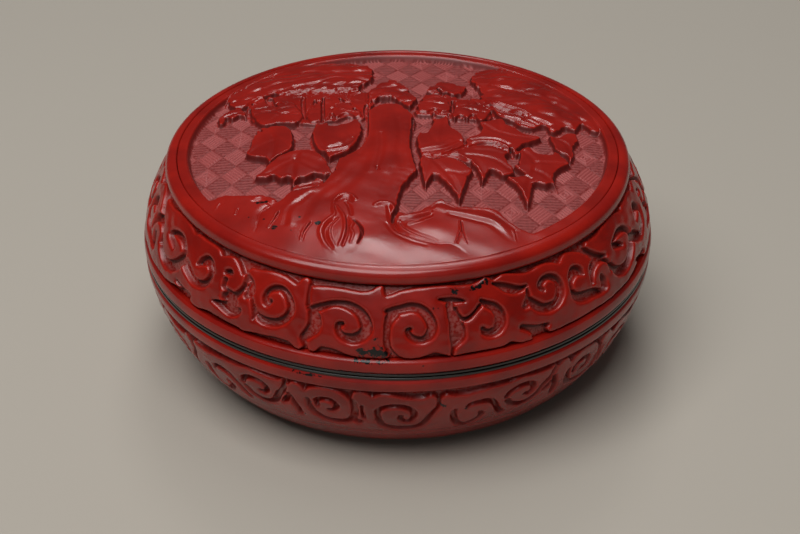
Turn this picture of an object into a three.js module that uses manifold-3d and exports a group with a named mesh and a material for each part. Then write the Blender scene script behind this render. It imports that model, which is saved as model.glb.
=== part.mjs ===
// A round carved lacquer box: a domed lid over a bowl-shaped base on a low foot.
// Every piece is a turned ring, shell or disc about the Z axis. Lengths are in millimetres.
// Heights in the profiles are counted from the seam between the lid and the base.
// The main forms of the picture and of the lid's scrolls are cut into their coats.
import * as THREE from 'three';
import { mergeVertices } from 'three/addons/utils/BufferGeometryUtils.js';
import Module from 'manifold-3d';

// Outer form of the lid
const SEAM_RADIUS = 51.5;
const LID_DRAW_IN = 5.4;
const GROOVE_HEIGHT = 16.4;
const LID_WALL_BULGE = 1.5;
const LID_RIM_BAND_TOP = 3.8;
const BEAD_WIDTH = 2.4;
const BEAD_HEIGHT = 2.8;
const BEAD_BULGE = 0.75;
const CROWN_RISE = 2.4;

// Outer form of the base
const BASE_DRAW_IN = 9;
const BASE_TURN_DEPTH = 21;
const BASE_WALL_BULGE = 2;
const BASE_RIM_BAND_DEPTH = 3.8;
const BASE_SCROLL_DEPTH = 16.1;
const UNDERSIDE_DROP = 1;
const UNDERSIDE_ROUND = 2.2;
const FOOT_INSET = 3.9;
const FOOT_WIDTH = 2.6;
const FOOT_HEIGHT = 2.4;

// Layers of the wall, from the outside in
const COAT = 2;
const GLUE_LINE = 0.1;
const CORE_WALL = 3;
const CORE_TOP = 2.2;
const LINING = 0.4;
const UNDERSIDE_COAT = 0.6;
const FLOOR_FILLET = 3;

// Seam: the black edges that meet there and the lip that guides the lid
const SEAM_GAP = 0.3;
const EDGE_THICKNESS = 0.5;
const EDGE_SETBACK = 0.25;
const LIP_RISE = 4.2;
const LIP_ROOT = 5;
const LIP_WIDTH = 1.3;
const LIP_CHAMFER = 0.4;
const LIP_CLEARANCE = 0.3;
const REBATE_CLEARANCE = 0.8;

// Carving in the coats of the lid
const CARVING_DEPTH = 1.3;
const PICTURE_BORDER = 1.7;
const SCROLL_REPEATS = 3;
const CUT_OVERRUN = 1;
const WELD = 0.0001;

// Raised forms of the picture, across and away from the front, as shares of the panel's radius
const PICTURE_SHARES = [
  // Trunk and roots
  [
    [-0.027, 0.348], [0.050, 0.275], [0.082, 0.149], [0.062, -0.080], [0.089, -0.302], [0.027, -0.435],
    [0.000, -0.606], [-0.016, -0.709], [0.275, -1.144], [-0.503, -1.144], [-0.586, -0.778],
    [-0.581, -0.600], [-0.469, -0.453], [-0.352, -0.403], [-0.293, -0.316], [-0.261, -0.192],
    [-0.181, -0.096], [-0.144, 0.057], [-0.146, 0.217],
  ],
  // Left bank
  [
    [-1.144, -0.366], [-0.961, -0.435], [-0.824, -0.485], [-0.719, -0.453], [-0.561, -0.478],
    [-0.490, -0.549], [-0.366, -1.144], [-1.144, -1.144],
  ],
  // Right bank
  [
    [-0.005, -0.632], [0.092, -0.609], [0.183, -0.524], [0.252, -0.574], [0.416, -0.590],
    [0.503, -0.714], [0.618, -0.778], [0.870, -0.824], [0.915, -1.144], [-0.137, -1.144],
  ],
  // Left leaves
  [
    [-0.467, -0.105], [-0.348, -0.142], [-0.302, -0.252], [-0.286, -0.311], [-0.362, -0.323],
    [-0.455, -0.410], [-0.471, -0.346], [-0.632, -0.325], [-0.577, -0.215], [-0.517, -0.137],
  ],
  [
    [-0.645, 0.114], [-0.549, 0.142], [-0.478, 0.069], [-0.474, -0.078], [-0.570, -0.204],
    [-0.684, -0.119], [-0.670, 0.000],
  ],
  [
    [-0.380, 0.151], [-0.391, -0.034], [-0.304, -0.197], [-0.233, -0.140], [-0.169, 0.000],
    [-0.165, 0.137], [-0.192, 0.183], [-0.265, 0.135],
  ],
  [
    [-0.650, 0.178], [-0.707, 0.357], [-0.572, 0.407], [-0.494, 0.389], [-0.442, 0.261], [-0.476, 0.158],
  ],
  // Right leaves
  [
    [0.101, 0.064], [0.158, 0.128], [0.227, 0.229], [0.265, 0.082], [0.309, -0.023], [0.268, -0.110],
    [0.137, -0.169], [0.085, -0.069],
  ],
  [
    [0.103, -0.185], [0.224, -0.176], [0.336, -0.293], [0.302, -0.412], [0.263, -0.549], [0.190, -0.380],
    [0.119, -0.430], [0.098, -0.297],
  ],
  [
    [0.304, -0.096], [0.412, -0.064], [0.501, -0.119], [0.517, -0.302], [0.421, -0.291], [0.368, -0.389],
    [0.318, -0.229], [0.233, -0.156],
  ],
  [
    [0.375, 0.160], [0.494, 0.206], [0.549, 0.114], [0.659, 0.037], [0.572, -0.041], [0.513, -0.110],
    [0.311, -0.082], [0.307, -0.014], [0.384, 0.101],
  ],
  [
    [0.554, -0.092], [0.682, -0.124], [0.769, -0.199], [0.705, -0.275], [0.696, -0.410], [0.588, -0.389],
    [0.554, -0.565], [0.471, -0.341], [0.549, -0.307], [0.513, -0.238],
  ],
  [
    [0.693, 0.069], [0.778, 0.105], [0.833, 0.046], [0.771, -0.169], [0.703, -0.023],
  ],
  // Leaves above the trunk
  [
    [-0.114, 0.540], [-0.032, 0.627], [0.039, 0.554], [0.094, 0.412], [0.059, 0.311], [-0.059, 0.421],
    [-0.133, 0.357],
  ],
  [
    [0.133, 0.462], [0.224, 0.423], [0.247, 0.286], [0.092, 0.286],
  ],
  [
    [0.297, 0.398], [0.389, 0.357], [0.446, 0.293], [0.400, 0.181], [0.263, 0.192],
  ],
  // Far rocks
  [
    [-0.769, 0.366], [-0.833, 0.458], [-0.741, 0.618], [-0.618, 0.787], [-0.366, 0.874], [-0.128, 0.801],
    [-0.133, 0.618], [-0.183, 0.467], [-0.252, 0.366], [-0.339, 0.453], [-0.458, 0.481], [-0.609, 0.503],
    [-0.696, 0.394],
  ],
  [
    [0.389, 0.398], [0.380, 0.549], [0.526, 0.732], [0.732, 0.686], [0.892, 0.435], [0.947, 0.146],
    [0.824, 0.128], [0.677, 0.126], [0.526, 0.192], [0.439, 0.288],
  ],
];

// Grooves of the lid's scrolls, for one repeat of the pattern. Each point has the degrees from the
// front, the height as a share of the band's height, and the half width as such a share.
const SCROLL_SHARES = [
  [
    [-55.2, 0.56, 0.029], [-51.3, 0.45, 0.081], [-46.5, 0.43, 0.057], [-43.9, 0.66, 0.049],
    [-46.5, 0.81, 0.049], [-50.2, 0.71, 0.041],
  ],
  [
    [-40.6, 0.58, 0.029], [-37, 0.51, 0.057], [-35, 0.68, 0.041], [-34.6, 0.79, 0.029],
  ],
  [
    [-29.5, 0.69, 0.037], [-26.8, 0.82, 0.045], [-23.1, 0.69, 0.053], [-23.4, 0.45, 0.057],
    [-27.8, 0.32, 0.057], [-31.4, 0.47, 0.037],
  ],
  [
    [-18.4, 0.59, 0.069], [-18.1, 0.35, 0.101], [-19.35, 0.12, 0.041], [-19.1, 0.04, 0.045],
  ],
  [
    [-18.9, 0.64, 0.037], [-14.8, 0.75, 0.053], [-9.5, 0.76, 0.061], [-6.5, 0.56, 0.073],
    [-7.4, 0.33, 0.069], [-11.4, 0.27, 0.041], [-12.9, 0.32, 0.021],
  ],
  [
    [-2.5, 0.70, 0.033], [1, 0.77, 0.049], [5, 0.73, 0.061], [7.1, 0.52, 0.069], [5.9, 0.31, 0.057],
    [2.9, 0.29, 0.033], [2, 0.34, 0.021],
  ],
  [
    [-1.9, 0.66, 0.041], [-2.3, 0.40, 0.045], [-1.6, 0.14, 0.041], [-0.6, 0.06, 0.049],
  ],
  [
    [11, 0.72, 0.069], [12.2, 0.48, 0.101], [11.6, 0.24, 0.073], [10.9, 0.02, 0.019],
  ],
  [
    [11.9, 0.68, 0.041], [13.7, 0.53, 0.049], [16.7, 0.62, 0.037], [19.6, 0.67, 0.065],
    [21.8, 0.44, 0.085], [20, 0.24, 0.057], [17.4, 0.29, 0.025],
  ],
  [
    [28.4, 0.64, 0.033], [31.3, 0.46, 0.057], [35, 0.44, 0.073], [36.5, 0.66, 0.049],
    [34.8, 0.82, 0.045], [31.9, 0.76, 0.045], [32.9, 0.64, 0.033],
  ],
  [
    [39.9, 0.51, 0.045], [43.1, 0.36, 0.069], [46.6, 0.34, 0.049], [49.7, 0.26, 0.041],
  ],
  [
    [53.6, 0.50, 0.037], [57, 0.32, 0.073], [62, 0.39, 0.081], [64.4, 0.63, 0.049], [61.8, 0.81, 0.049],
    [57.1, 0.77, 0.037],
  ],
];

// Facets
const TURNS = 56;
const WALL_STEPS = 4;
const INNER_WALL_STEPS = 3;
const CROWN_STEPS = 4;
const INNER_CROWN_STEPS = 2;
const SMALL_ROUND_STEPS = 2;

// Finishes
const CARVED_RED = new THREE.MeshStandardMaterial({ color: 0x96160c, roughness: 0.38, metalness: 0 });
const PANEL_RED = new THREE.MeshStandardMaterial({ color: 0xa04a4c, roughness: 0.45, metalness: 0 });
const BAND_RED = new THREE.MeshStandardMaterial({ color: 0xa01405, roughness: 0.32, metalness: 0 });
const BLACK_LACQUER = new THREE.MeshStandardMaterial({ color: 0x14110f, roughness: 0.25, metalness: 0 });
const CORE_WOOD = new THREE.MeshStandardMaterial({ color: 0x9a7a55, roughness: 0.8, metalness: 0 });

const GROOVE_RADIUS = SEAM_RADIUS - LID_DRAW_IN;
const PANEL_RADIUS = GROOVE_RADIUS - BEAD_WIDTH;
const PANEL_EDGE_HEIGHT = GROOVE_HEIGHT + BEAD_HEIGHT;
const CROWN_HEIGHT = PANEL_EDGE_HEIGHT + CROWN_RISE;
const BASE_TURN_RADIUS = SEAM_RADIUS - BASE_DRAW_IN;
const UNDERSIDE_DEPTH = BASE_TURN_DEPTH + UNDERSIDE_DROP;
const FOOT_RADIUS = BASE_TURN_RADIUS - FOOT_INSET;
const SEAM_LEVEL = UNDERSIDE_DEPTH + FOOT_HEIGHT;
const HALF_GAP = SEAM_GAP / 2;
const EDGE_FACE = HALF_GAP + EDGE_THICKNESS;
const WALL_START = EDGE_FACE + GLUE_LINE;
const CORE_INSET = COAT + GLUE_LINE;
const LINING_INSET = CORE_INSET + CORE_WALL + GLUE_LINE;
const INNER_INSET = LINING_INSET + LINING;

// An arc from one point to another that bulges away from the axis.
class WallArc {
  constructor(start, end, bulge) {
    const chord = end.clone().sub(start);
    const half = chord.length() / 2;
    this.radius = (half * half + bulge * bulge) / (2 * bulge);
    const outward = new THREE.Vector2(chord.y, -chord.x).normalize();
    if (outward.x < 0) outward.negate();
    const middle = start.clone().add(end).multiplyScalar(1 / 2);
    this.centre = middle.addScaledVector(outward, bulge - this.radius);
    this.end = end;
  }

  // The radius of the arc, moved in by an inset, at a height.
  at(height, inset = 0) {
    const rise = height - this.centre.y;
    const reach = this.radius - inset;
    return this.centre.x + Math.sqrt(reach * reach - rise * rise);
  }

  point(height, inset = 0) {
    return new THREE.Vector2(this.at(height, inset), height);
  }

  // The end of the arc moved in square to the surface.
  endPoint(inset = 0) {
    const direction = this.end.clone().sub(this.centre).normalize();
    return this.end.clone().addScaledVector(direction, -inset);
  }

  // Points from one height to another at equal steps of height.
  run(from, to, inset = 0, steps = WALL_STEPS) {
    const points = [];
    for (let i = 0; i <= steps; i += 1) {
      points.push(this.point(from + (to - from) * (i / steps), inset));
    }
    return points;
  }
}

const seam = new THREE.Vector2(SEAM_RADIUS, 0);
const groove = new THREE.Vector2(GROOVE_RADIUS, GROOVE_HEIGHT);
const turn = new THREE.Vector2(BASE_TURN_RADIUS, -BASE_TURN_DEPTH);
const lidWall = new WallArc(seam, groove, LID_WALL_BULGE);
const baseWall = new WallArc(turn, seam, BASE_WALL_BULGE);

// The crown of the lid, lowered by a depth, from the axis out to a radius.
function crownHeight(radius, depth) {
  const share = radius / PANEL_RADIUS;
  return CROWN_HEIGHT - depth - CROWN_RISE * share * share;
}

function crownRun(fromRadius, toRadius, depth, steps = INNER_CROWN_STEPS) {
  const points = [];
  for (let i = 0; i <= steps; i += 1) {
    const radius = fromRadius + (toRadius - fromRadius) * (i / steps);
    points.push(new THREE.Vector2(radius, crownHeight(radius, depth)));
  }
  return points;
}

// A quarter round between two points, tangent to the direction of the corner between them.
function roundCorner(start, corner, end, steps = SMALL_ROUND_STEPS) {
  return new THREE.QuadraticBezierCurve(start, corner, end).getPoints(steps);
}

function at(radius, height) {
  return new THREE.Vector2(radius, height);
}

// A solid of revolution from a profile that closes on itself or on the axis.
function turnedGeometry(profile) {
  const loop = profile.map((point) => point.clone());
  let area = 0;
  loop.forEach((point, i) => {
    const next = loop[(i + 1) % loop.length];
    area += point.x * next.y - next.x * point.y;
  });
  if (area < 0) loop.reverse();
  const meetsAxis = loop.some((point) => point.x === 0);
  if (meetsAxis) {
    while (loop[0].x !== 0 || loop[loop.length - 1].x !== 0) loop.push(loop.shift());
  } else {
    loop.push(loop[0].clone());
  }
  const geometry = new THREE.LatheGeometry(loop, TURNS);
  geometry.rotateX(Math.PI / 2);
  return geometry;
}

function piece(name, material, geometry) {
  const mesh = new THREE.Mesh(geometry, material);
  mesh.name = name;
  mesh.position.z = SEAM_LEVEL;
  return mesh;
}

function turned(name, material, profile) {
  return piece(name, material, turnedGeometry(profile));
}

const manifold = await Module();
manifold.setup();

// A solid for cutting and joining, from a closed geometry.
function solidFrom(geometry) {
  const bare = geometry.clone();
  bare.deleteAttribute('normal');
  bare.deleteAttribute('uv');
  const merged = mergeVertices(bare, WELD);
  const index = Array.from(merged.index.array);
  const corners = [];
  for (let i = 0; i < index.length; i += 3) {
    const [a, b, c] = index.slice(i, i + 3);
    if (a !== b && b !== c && c !== a) corners.push(a, b, c);
  }
  return new manifold.Manifold(new manifold.Mesh({
    numProp: 3,
    vertProperties: new Float32Array(merged.attributes.position.array),
    triVerts: new Uint32Array(corners),
  }));
}

function geometryFrom(solid) {
  const cut = solid.getMesh();
  const geometry = new THREE.BufferGeometry();
  geometry.setAttribute('position', new THREE.BufferAttribute(new Float32Array(cut.vertProperties), 3));
  geometry.setIndex(Array.from(cut.triVerts));
  geometry.computeVertexNormals();
  return geometry;
}

const lipOuter = baseWall.at(-LIP_ROOT, INNER_INSET) + LIP_WIDTH;
const lipSeat = lipOuter + GLUE_LINE;
const lidBore = lipOuter + LIP_CLEARANCE;
const rebateTop = LIP_RISE + REBATE_CLEARANCE;

// Lid, from the picture on top down to the seam

// The raised forms of the picture as one solid, taller than the cut round them.
function pictureForms() {
  const start = PANEL_EDGE_HEIGHT - CARVING_DEPTH - CUT_OVERRUN;
  const depth = CROWN_HEIGHT + CUT_OVERRUN + CUT_OVERRUN - start;
  const forms = PICTURE_SHARES.map((shares) => {
    const outline = shares.map(([across, away]) => at(across, away).multiplyScalar(PANEL_RADIUS));
    const form = new THREE.ExtrudeGeometry(new THREE.Shape(outline), { depth, bevelEnabled: false });
    form.translate(0, 0, start);
    return solidFrom(form);
  });
  return forms.reduce((joined, form) => joined.add(form));
}

function picturePanel() {
  const top = crownRun(0, PANEL_RADIUS, 0, CROWN_STEPS);
  const bottom = crownRun(PANEL_RADIUS, 0, COAT);
  const panel = solidFrom(turnedGeometry([...top, ...bottom]));
  const inside = PANEL_RADIUS - PICTURE_BORDER;
  const ceiling = CROWN_HEIGHT + CUT_OVERRUN;
  const sunk = turnedGeometry([
    ...crownRun(0, inside, CARVING_DEPTH),
    at(inside, ceiling),
    at(0, ceiling),
  ]);
  const carved = panel.subtract(solidFrom(sunk).subtract(pictureForms()));
  return piece('lid_picture_panel', PANEL_RED, geometryFrom(carved));
}

function bead() {
  const inside = PANEL_RADIUS + GLUE_LINE;
  const shoulder = lidWall.endPoint(COAT).y + GLUE_LINE;
  const start = at(inside, PANEL_EDGE_HEIGHT);
  const end = at(GROOVE_RADIUS - GLUE_LINE, GROOVE_HEIGHT + GLUE_LINE);
  const corner = at(end.x + BEAD_BULGE, start.y + BEAD_BULGE);
  const root = lidWall.endPoint(COAT);
  return turned('lid_bead', CARVED_RED, [
    ...roundCorner(start, corner, end, 2 * SMALL_ROUND_STEPS),
    at(root.x - GLUE_LINE, shoulder),
    at(inside, shoulder),
  ]);
}

// The outline of a groove, laid out flat: across is the run round the seam, up is the height.
function grooveOutline(stroke) {
  const tall = GROOVE_HEIGHT - LID_RIM_BAND_TOP;
  const middles = stroke.map(([degrees, share]) => (
    at(THREE.MathUtils.degToRad(degrees) * SEAM_RADIUS, LID_RIM_BAND_TOP + share * tall)));
  const left = [];
  const right = [];
  middles.forEach((middle, i) => {
    const before = middles[Math.max(i - 1, 0)];
    const after = middles[Math.min(i + 1, middles.length - 1)];
    const along = after.clone().sub(before).normalize();
    const side = at(-along.y, along.x).multiplyScalar(stroke[i][2] * tall);
    left.push(middle.clone().add(side));
    right.push(middle.clone().sub(side));
  });
  return new THREE.Shape([...right, ...left.reverse()]);
}

// A cutter for a groove, bent round the wall of the lid and turned by an angle.
function grooveCutter(stroke, turnAngle) {
  const cutter = new THREE.ExtrudeGeometry(grooveOutline(stroke), { depth: 1, bevelEnabled: false });
  const places = cutter.attributes.position;
  for (let i = 0; i < places.count; i += 1) {
    const inset = places.getZ(i) > 0 ? -CUT_OVERRUN : CARVING_DEPTH;
    const angle = places.getX(i) / SEAM_RADIUS + turnAngle - Math.PI / 2;
    const radius = lidWall.at(places.getY(i), inset);
    places.setXYZ(i, radius * Math.cos(angle), radius * Math.sin(angle), places.getY(i));
  }
  return solidFrom(cutter);
}

function lidScrollBand() {
  const outer = lidWall.run(LID_RIM_BAND_TOP, GROOVE_HEIGHT, 0, INNER_WALL_STEPS);
  const innerEnd = lidWall.endPoint(COAT).y;
  const inner = lidWall.run(innerEnd, LID_RIM_BAND_TOP, COAT, INNER_WALL_STEPS);
  let band = solidFrom(turnedGeometry([...outer, ...inner]));
  for (let repeat = 0; repeat < SCROLL_REPEATS; repeat += 1) {
    const turnAngle = (repeat / SCROLL_REPEATS) * 2 * Math.PI;
    SCROLL_SHARES.forEach((stroke) => {
      band = band.subtract(grooveCutter(stroke, turnAngle));
    });
  }
  return piece('lid_scroll_band', CARVED_RED, geometryFrom(band));
}

function lidRimBand() {
  const top = LID_RIM_BAND_TOP - GLUE_LINE;
  const outer = lidWall.run(WALL_START, top, 0, SMALL_ROUND_STEPS);
  const inner = lidWall.run(top, WALL_START, COAT, SMALL_ROUND_STEPS);
  return turned('lid_rim_band', BAND_RED, [...outer, ...inner]);
}

function lidSeamEdge() {
  const outside = SEAM_RADIUS - EDGE_SETBACK;
  return turned('lid_seam_edge', BLACK_LACQUER, [
    at(lidBore, HALF_GAP), at(outside, HALF_GAP), at(outside, EDGE_FACE), at(lidBore, EDGE_FACE),
  ]);
}

// The inner face of the lid: a straight bore for the lip, a step, then the dome.
function lidInnerFace(inset) {
  const bore = lidBore + (INNER_INSET - inset);
  const step = rebateTop + (INNER_INSET - inset);
  const ceilingDepth = COAT + GLUE_LINE + CORE_TOP + GLUE_LINE + LINING - (INNER_INSET - inset);
  const roof = crownHeight(PANEL_RADIUS, ceilingDepth);
  const wallTop = roof - FLOOR_FILLET;
  const wallTopRadius = lidWall.at(wallTop, inset);
  const flatEdge = lidWall.at(roof, inset) - FLOOR_FILLET;
  const flat = at(flatEdge, crownHeight(flatEdge, ceilingDepth));
  const corner = at(lidWall.at(roof, inset), crownHeight(lidWall.at(roof, inset), ceilingDepth));
  return [
    at(bore, WALL_START),
    at(bore, step),
    ...lidWall.run(step, wallTop, inset, SMALL_ROUND_STEPS),
    ...roundCorner(at(wallTopRadius, wallTop), corner, flat).slice(1, -1),
    ...crownRun(flatEdge, 0, ceilingDepth),
  ];
}

function lidCore() {
  const shoulder = lidWall.endPoint(CORE_INSET);
  return turned('lid_core', CORE_WOOD, [
    ...lidInnerFace(LINING_INSET - GLUE_LINE).reverse(),
    ...lidWall.run(WALL_START, shoulder.y, CORE_INSET, INNER_WALL_STEPS),
    at(PANEL_RADIUS, shoulder.y),
    ...crownRun(PANEL_RADIUS, 0, CORE_INSET),
  ]);
}

function lidLining() {
  const back = lidInnerFace(LINING_INSET);
  const face = lidInnerFace(INNER_INSET);
  return turned('lid_lining', BLACK_LACQUER, [...face, ...back.reverse()]);
}

// Base, from the lip down to the foot

function innerLip() {
  const inside = lipOuter - LIP_WIDTH;
  const chamfered = LIP_RISE - LIP_CHAMFER;
  return turned('inner_lip', BLACK_LACQUER, [
    at(inside, -LIP_ROOT),
    at(lipOuter, -LIP_ROOT),
    at(lipOuter, chamfered),
    at(lipOuter - LIP_CHAMFER, LIP_RISE),
    at(inside, LIP_RISE),
  ]);
}

function baseSeamEdge() {
  const outside = SEAM_RADIUS - EDGE_SETBACK;
  return turned('base_seam_edge', BLACK_LACQUER, [
    at(lipSeat, -HALF_GAP), at(outside, -HALF_GAP), at(outside, -EDGE_FACE), at(lipSeat, -EDGE_FACE),
  ]);
}

function baseRimBand() {
  const outer = baseWall.run(-WALL_START, -BASE_RIM_BAND_DEPTH, 0, SMALL_ROUND_STEPS);
  const inner = baseWall.run(-BASE_RIM_BAND_DEPTH, -WALL_START, COAT, SMALL_ROUND_STEPS);
  return turned('base_rim_band', BAND_RED, [...outer, ...inner]);
}

function baseScrollBand() {
  const top = -BASE_RIM_BAND_DEPTH - GLUE_LINE;
  const outer = baseWall.run(top, -BASE_SCROLL_DEPTH);
  const inner = baseWall.run(-BASE_SCROLL_DEPTH, top, COAT, INNER_WALL_STEPS);
  return turned('base_scroll_band', CARVED_RED, [...outer, ...inner]);
}

function baseLowerBand() {
  const top = -BASE_SCROLL_DEPTH - GLUE_LINE;
  const inside = FOOT_RADIUS + GLUE_LINE;
  const shelf = -UNDERSIDE_DEPTH + COAT;
  const flatEdge = at(BASE_TURN_RADIUS - UNDERSIDE_ROUND, -UNDERSIDE_DEPTH);
  const corner = at(BASE_TURN_RADIUS - UNDERSIDE_ROUND / 3, -UNDERSIDE_DEPTH);
  return turned('base_lower_band', BAND_RED, [
    ...baseWall.run(top, -BASE_TURN_DEPTH, 0, INNER_WALL_STEPS),
    ...roundCorner(turn, corner, flatEdge).slice(1),
    at(inside, -UNDERSIDE_DEPTH),
    at(inside, shelf),
    ...baseWall.run(shelf, top, COAT, SMALL_ROUND_STEPS),
  ]);
}

// The inner face of the bowl: the wall, a fillet and the floor, from the top down to the axis.
function bowlFace(top, inset, floor) {
  const wallEnd = floor + FLOOR_FILLET;
  const flatEdge = baseWall.at(wallEnd, inset) - FLOOR_FILLET;
  const corner = at(baseWall.at(floor, inset), floor);
  return [
    ...baseWall.run(top, wallEnd, inset, INNER_WALL_STEPS),
    ...roundCorner(baseWall.point(wallEnd, inset), corner, at(flatEdge, floor)).slice(1),
    at(0, floor),
  ];
}

const coreUnderside = -UNDERSIDE_DEPTH + COAT + GLUE_LINE;

function baseCore() {
  const seatDepth = -LIP_ROOT - GLUE_LINE;
  return turned('base_core', CORE_WOOD, [
    ...baseWall.run(-WALL_START, coreUnderside, CORE_INSET, INNER_WALL_STEPS),
    at(0, coreUnderside),
    ...bowlFace(seatDepth, LINING_INSET - GLUE_LINE, coreUnderside + CORE_WALL).reverse(),
    at(lipSeat, seatDepth),
    at(lipSeat, -WALL_START),
  ]);
}

function baseLining() {
  const top = -LIP_ROOT - 2 * GLUE_LINE;
  const floor = coreUnderside + CORE_WALL + GLUE_LINE;
  const face = bowlFace(top, INNER_INSET, floor + LINING);
  const back = bowlFace(top, LINING_INSET, floor);
  return turned('base_lining', BLACK_LACQUER, [...face, ...back.reverse()]);
}

function footRing() {
  const inside = FOOT_RADIUS - FOOT_WIDTH;
  const top = coreUnderside - GLUE_LINE;
  return turned('foot_ring', BLACK_LACQUER, [
    at(inside, -SEAM_LEVEL), at(FOOT_RADIUS, -SEAM_LEVEL), at(FOOT_RADIUS, top), at(inside, top),
  ]);
}

function undersideCoat() {
  const edge = FOOT_RADIUS - FOOT_WIDTH - GLUE_LINE;
  const top = coreUnderside - GLUE_LINE;
  return turned('underside_coat', BLACK_LACQUER, [
    at(0, top), at(edge, top), at(edge, top - UNDERSIDE_COAT), at(0, top - UNDERSIDE_COAT),
  ]);
}

const lid = new THREE.Group();
lid.add(picturePanel(), bead(), lidScrollBand(), lidRimBand(), lidSeamEdge(), lidCore(), lidLining());

const base = new THREE.Group();
base.add(innerLip(), baseSeamEdge(), baseRimBand(), baseScrollBand(), baseLowerBand());
base.add(baseCore(), baseLining(), footRing(), undersideCoat());

const group = new THREE.Group();
group.add(lid, base);

export default group;
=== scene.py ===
"""The looks of a round carved cinnabar lacquer box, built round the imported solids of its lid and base.

Carving is drawn in millimetres, as strokes and outlines on the flat of each surface, and every piece
is then built in metres in the frame of the solids. Heights on the box are counted from the seam.
"""
import logging
import math
from dataclasses import dataclass, field, replace
from enum import Enum
from functools import cached_property
from typing import Any, Iterator, Optional, Sequence

import bpy
import numpy as np
from mathutils import Matrix, Vector


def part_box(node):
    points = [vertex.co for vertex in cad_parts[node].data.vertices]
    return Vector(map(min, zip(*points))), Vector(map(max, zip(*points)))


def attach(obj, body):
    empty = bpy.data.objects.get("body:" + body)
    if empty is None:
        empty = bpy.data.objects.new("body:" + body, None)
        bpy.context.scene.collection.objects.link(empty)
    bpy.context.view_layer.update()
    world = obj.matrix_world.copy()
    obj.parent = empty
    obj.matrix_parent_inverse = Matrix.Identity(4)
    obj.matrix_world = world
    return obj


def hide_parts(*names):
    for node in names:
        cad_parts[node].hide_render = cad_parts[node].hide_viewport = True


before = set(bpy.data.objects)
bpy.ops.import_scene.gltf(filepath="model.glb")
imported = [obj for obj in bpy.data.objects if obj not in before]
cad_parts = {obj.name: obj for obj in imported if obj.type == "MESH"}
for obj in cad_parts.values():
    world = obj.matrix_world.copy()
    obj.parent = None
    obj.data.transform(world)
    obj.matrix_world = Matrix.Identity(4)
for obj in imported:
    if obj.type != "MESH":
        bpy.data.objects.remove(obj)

MM = 0.001
TAU = 2 * math.pi
SHARP_DEGREES = 40.0  # an edge over this angle stays sharp
WEAR_REACH = 1.6  # how many times its size a worn place reaches
log = logging.getLogger("lacquer_box")

Point = tuple[float, float]
Stroke = list[tuple[float, float, float]]


class Body(Enum):
    """The two loose parts of the box, by the names of the bodies that carry them."""

    LID = "lid"
    BASE = "base"


class Side(Enum):
    """Which side of a contour is cut away."""

    ABOVE = 1
    BELOW = -1


def linear(code: str) -> tuple[float, float, float, float]:
    """Turn an sRGB hex colour into the linear values that a shader socket takes.

    Args:
        code: a colour as "#rrggbb".

    Returns:
        Red, green, blue and an alpha of one, in linear light.
    """
    channels = [int(code[i : i + 2], 16) / 255 for i in (1, 3, 5)]
    light = [c / 12.92 if c <= 0.04045 else ((c + 0.055) / 1.055) ** 2.4 for c in channels]
    return (light[0], light[1], light[2], 1.0)


def smooth_step(low: float, high: float, value: np.ndarray) -> np.ndarray:
    """Rise smoothly from 0 where value is low to 1 where it is high, or fall where low is the greater."""
    t = np.clip((value - low) / (high - low), 0.0, 1.0)
    return t * t * (3.0 - 2.0 * t)


def spline(points: Sequence[Sequence[float]], closed: bool, steps: int = 6) -> np.ndarray:
    """Draw a smooth curve through given points.

    Args:
        points: the points, with any number of columns.
        closed: whether the curve runs back to its start.
        steps: how many pieces each stretch is cut into.

    Returns:
        The points of the curve, one row each.
    """
    p = np.asarray(points, dtype=float)
    if closed:
        ring = np.vstack([p[-1:], p, p[:2]])
    else:
        ring = np.vstack([2 * p[:1] - p[1:2], p, 2 * p[-1:] - p[-2:-1]])
    t = (np.arange(steps) / steps)[None, :, None]
    a, b, c, d = (ring[i : len(ring) - 3 + i][:, None, :] for i in range(4))
    curve = (2 * a - 5 * b + 4 * c - d) * t**2 + (3 * b - a - 3 * c + d) * t**3
    run = (0.5 * (2 * b + (c - a) * t + curve)).reshape(-1, p.shape[1])
    return run if closed else np.vstack([run, p[-1:]])


def blurred(values: np.ndarray, cells: int, wraps: bool) -> np.ndarray:
    """Average a field over its neighbourhood.

    Args:
        values: the field.
        cells: the reach of the average, in cells.
        wraps: whether the field joins up from side to side.

    Returns:
        The averaged field.
    """
    weights = np.cos(np.linspace(-1, 1, 2 * cells + 1) * math.pi / 2) ** 2 + 1e-3
    weights /= weights.sum()
    across = np.pad(values, ((0, 0), (cells, cells)), mode="wrap" if wraps else "edge")
    values = sum(w * across[:, i : i + values.shape[1]] for i, w in enumerate(weights))
    along = np.pad(values, ((cells, cells), (0, 0)), mode="edge")
    return sum(w * along[i : i + values.shape[0]] for i, w in enumerate(weights))


def ripple(x: np.ndarray, y: np.ndarray, length: float, seed: int) -> np.ndarray:
    """A gentle uneven swell, as a knife and a hand leave it.

    Args:
        x: places across, in mm.
        y: places along, in mm.
        length: the usual distance between swells, in mm.
        seed: which swell to draw.

    Returns:
        Values of about -1 to 1.
    """
    chance = np.random.default_rng(seed)
    total = np.zeros(np.broadcast(x, y).shape)
    waves = 9
    for _ in range(waves):
        turn, phase, stretch = chance.uniform(0, TAU), chance.uniform(0, TAU), chance.uniform(0.7, 1.5)
        rate = TAU / (length * stretch)
        total += np.sin(rate * (x * math.cos(turn) + y * math.sin(turn)) + phase)
    return total / math.sqrt(waves)


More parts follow.
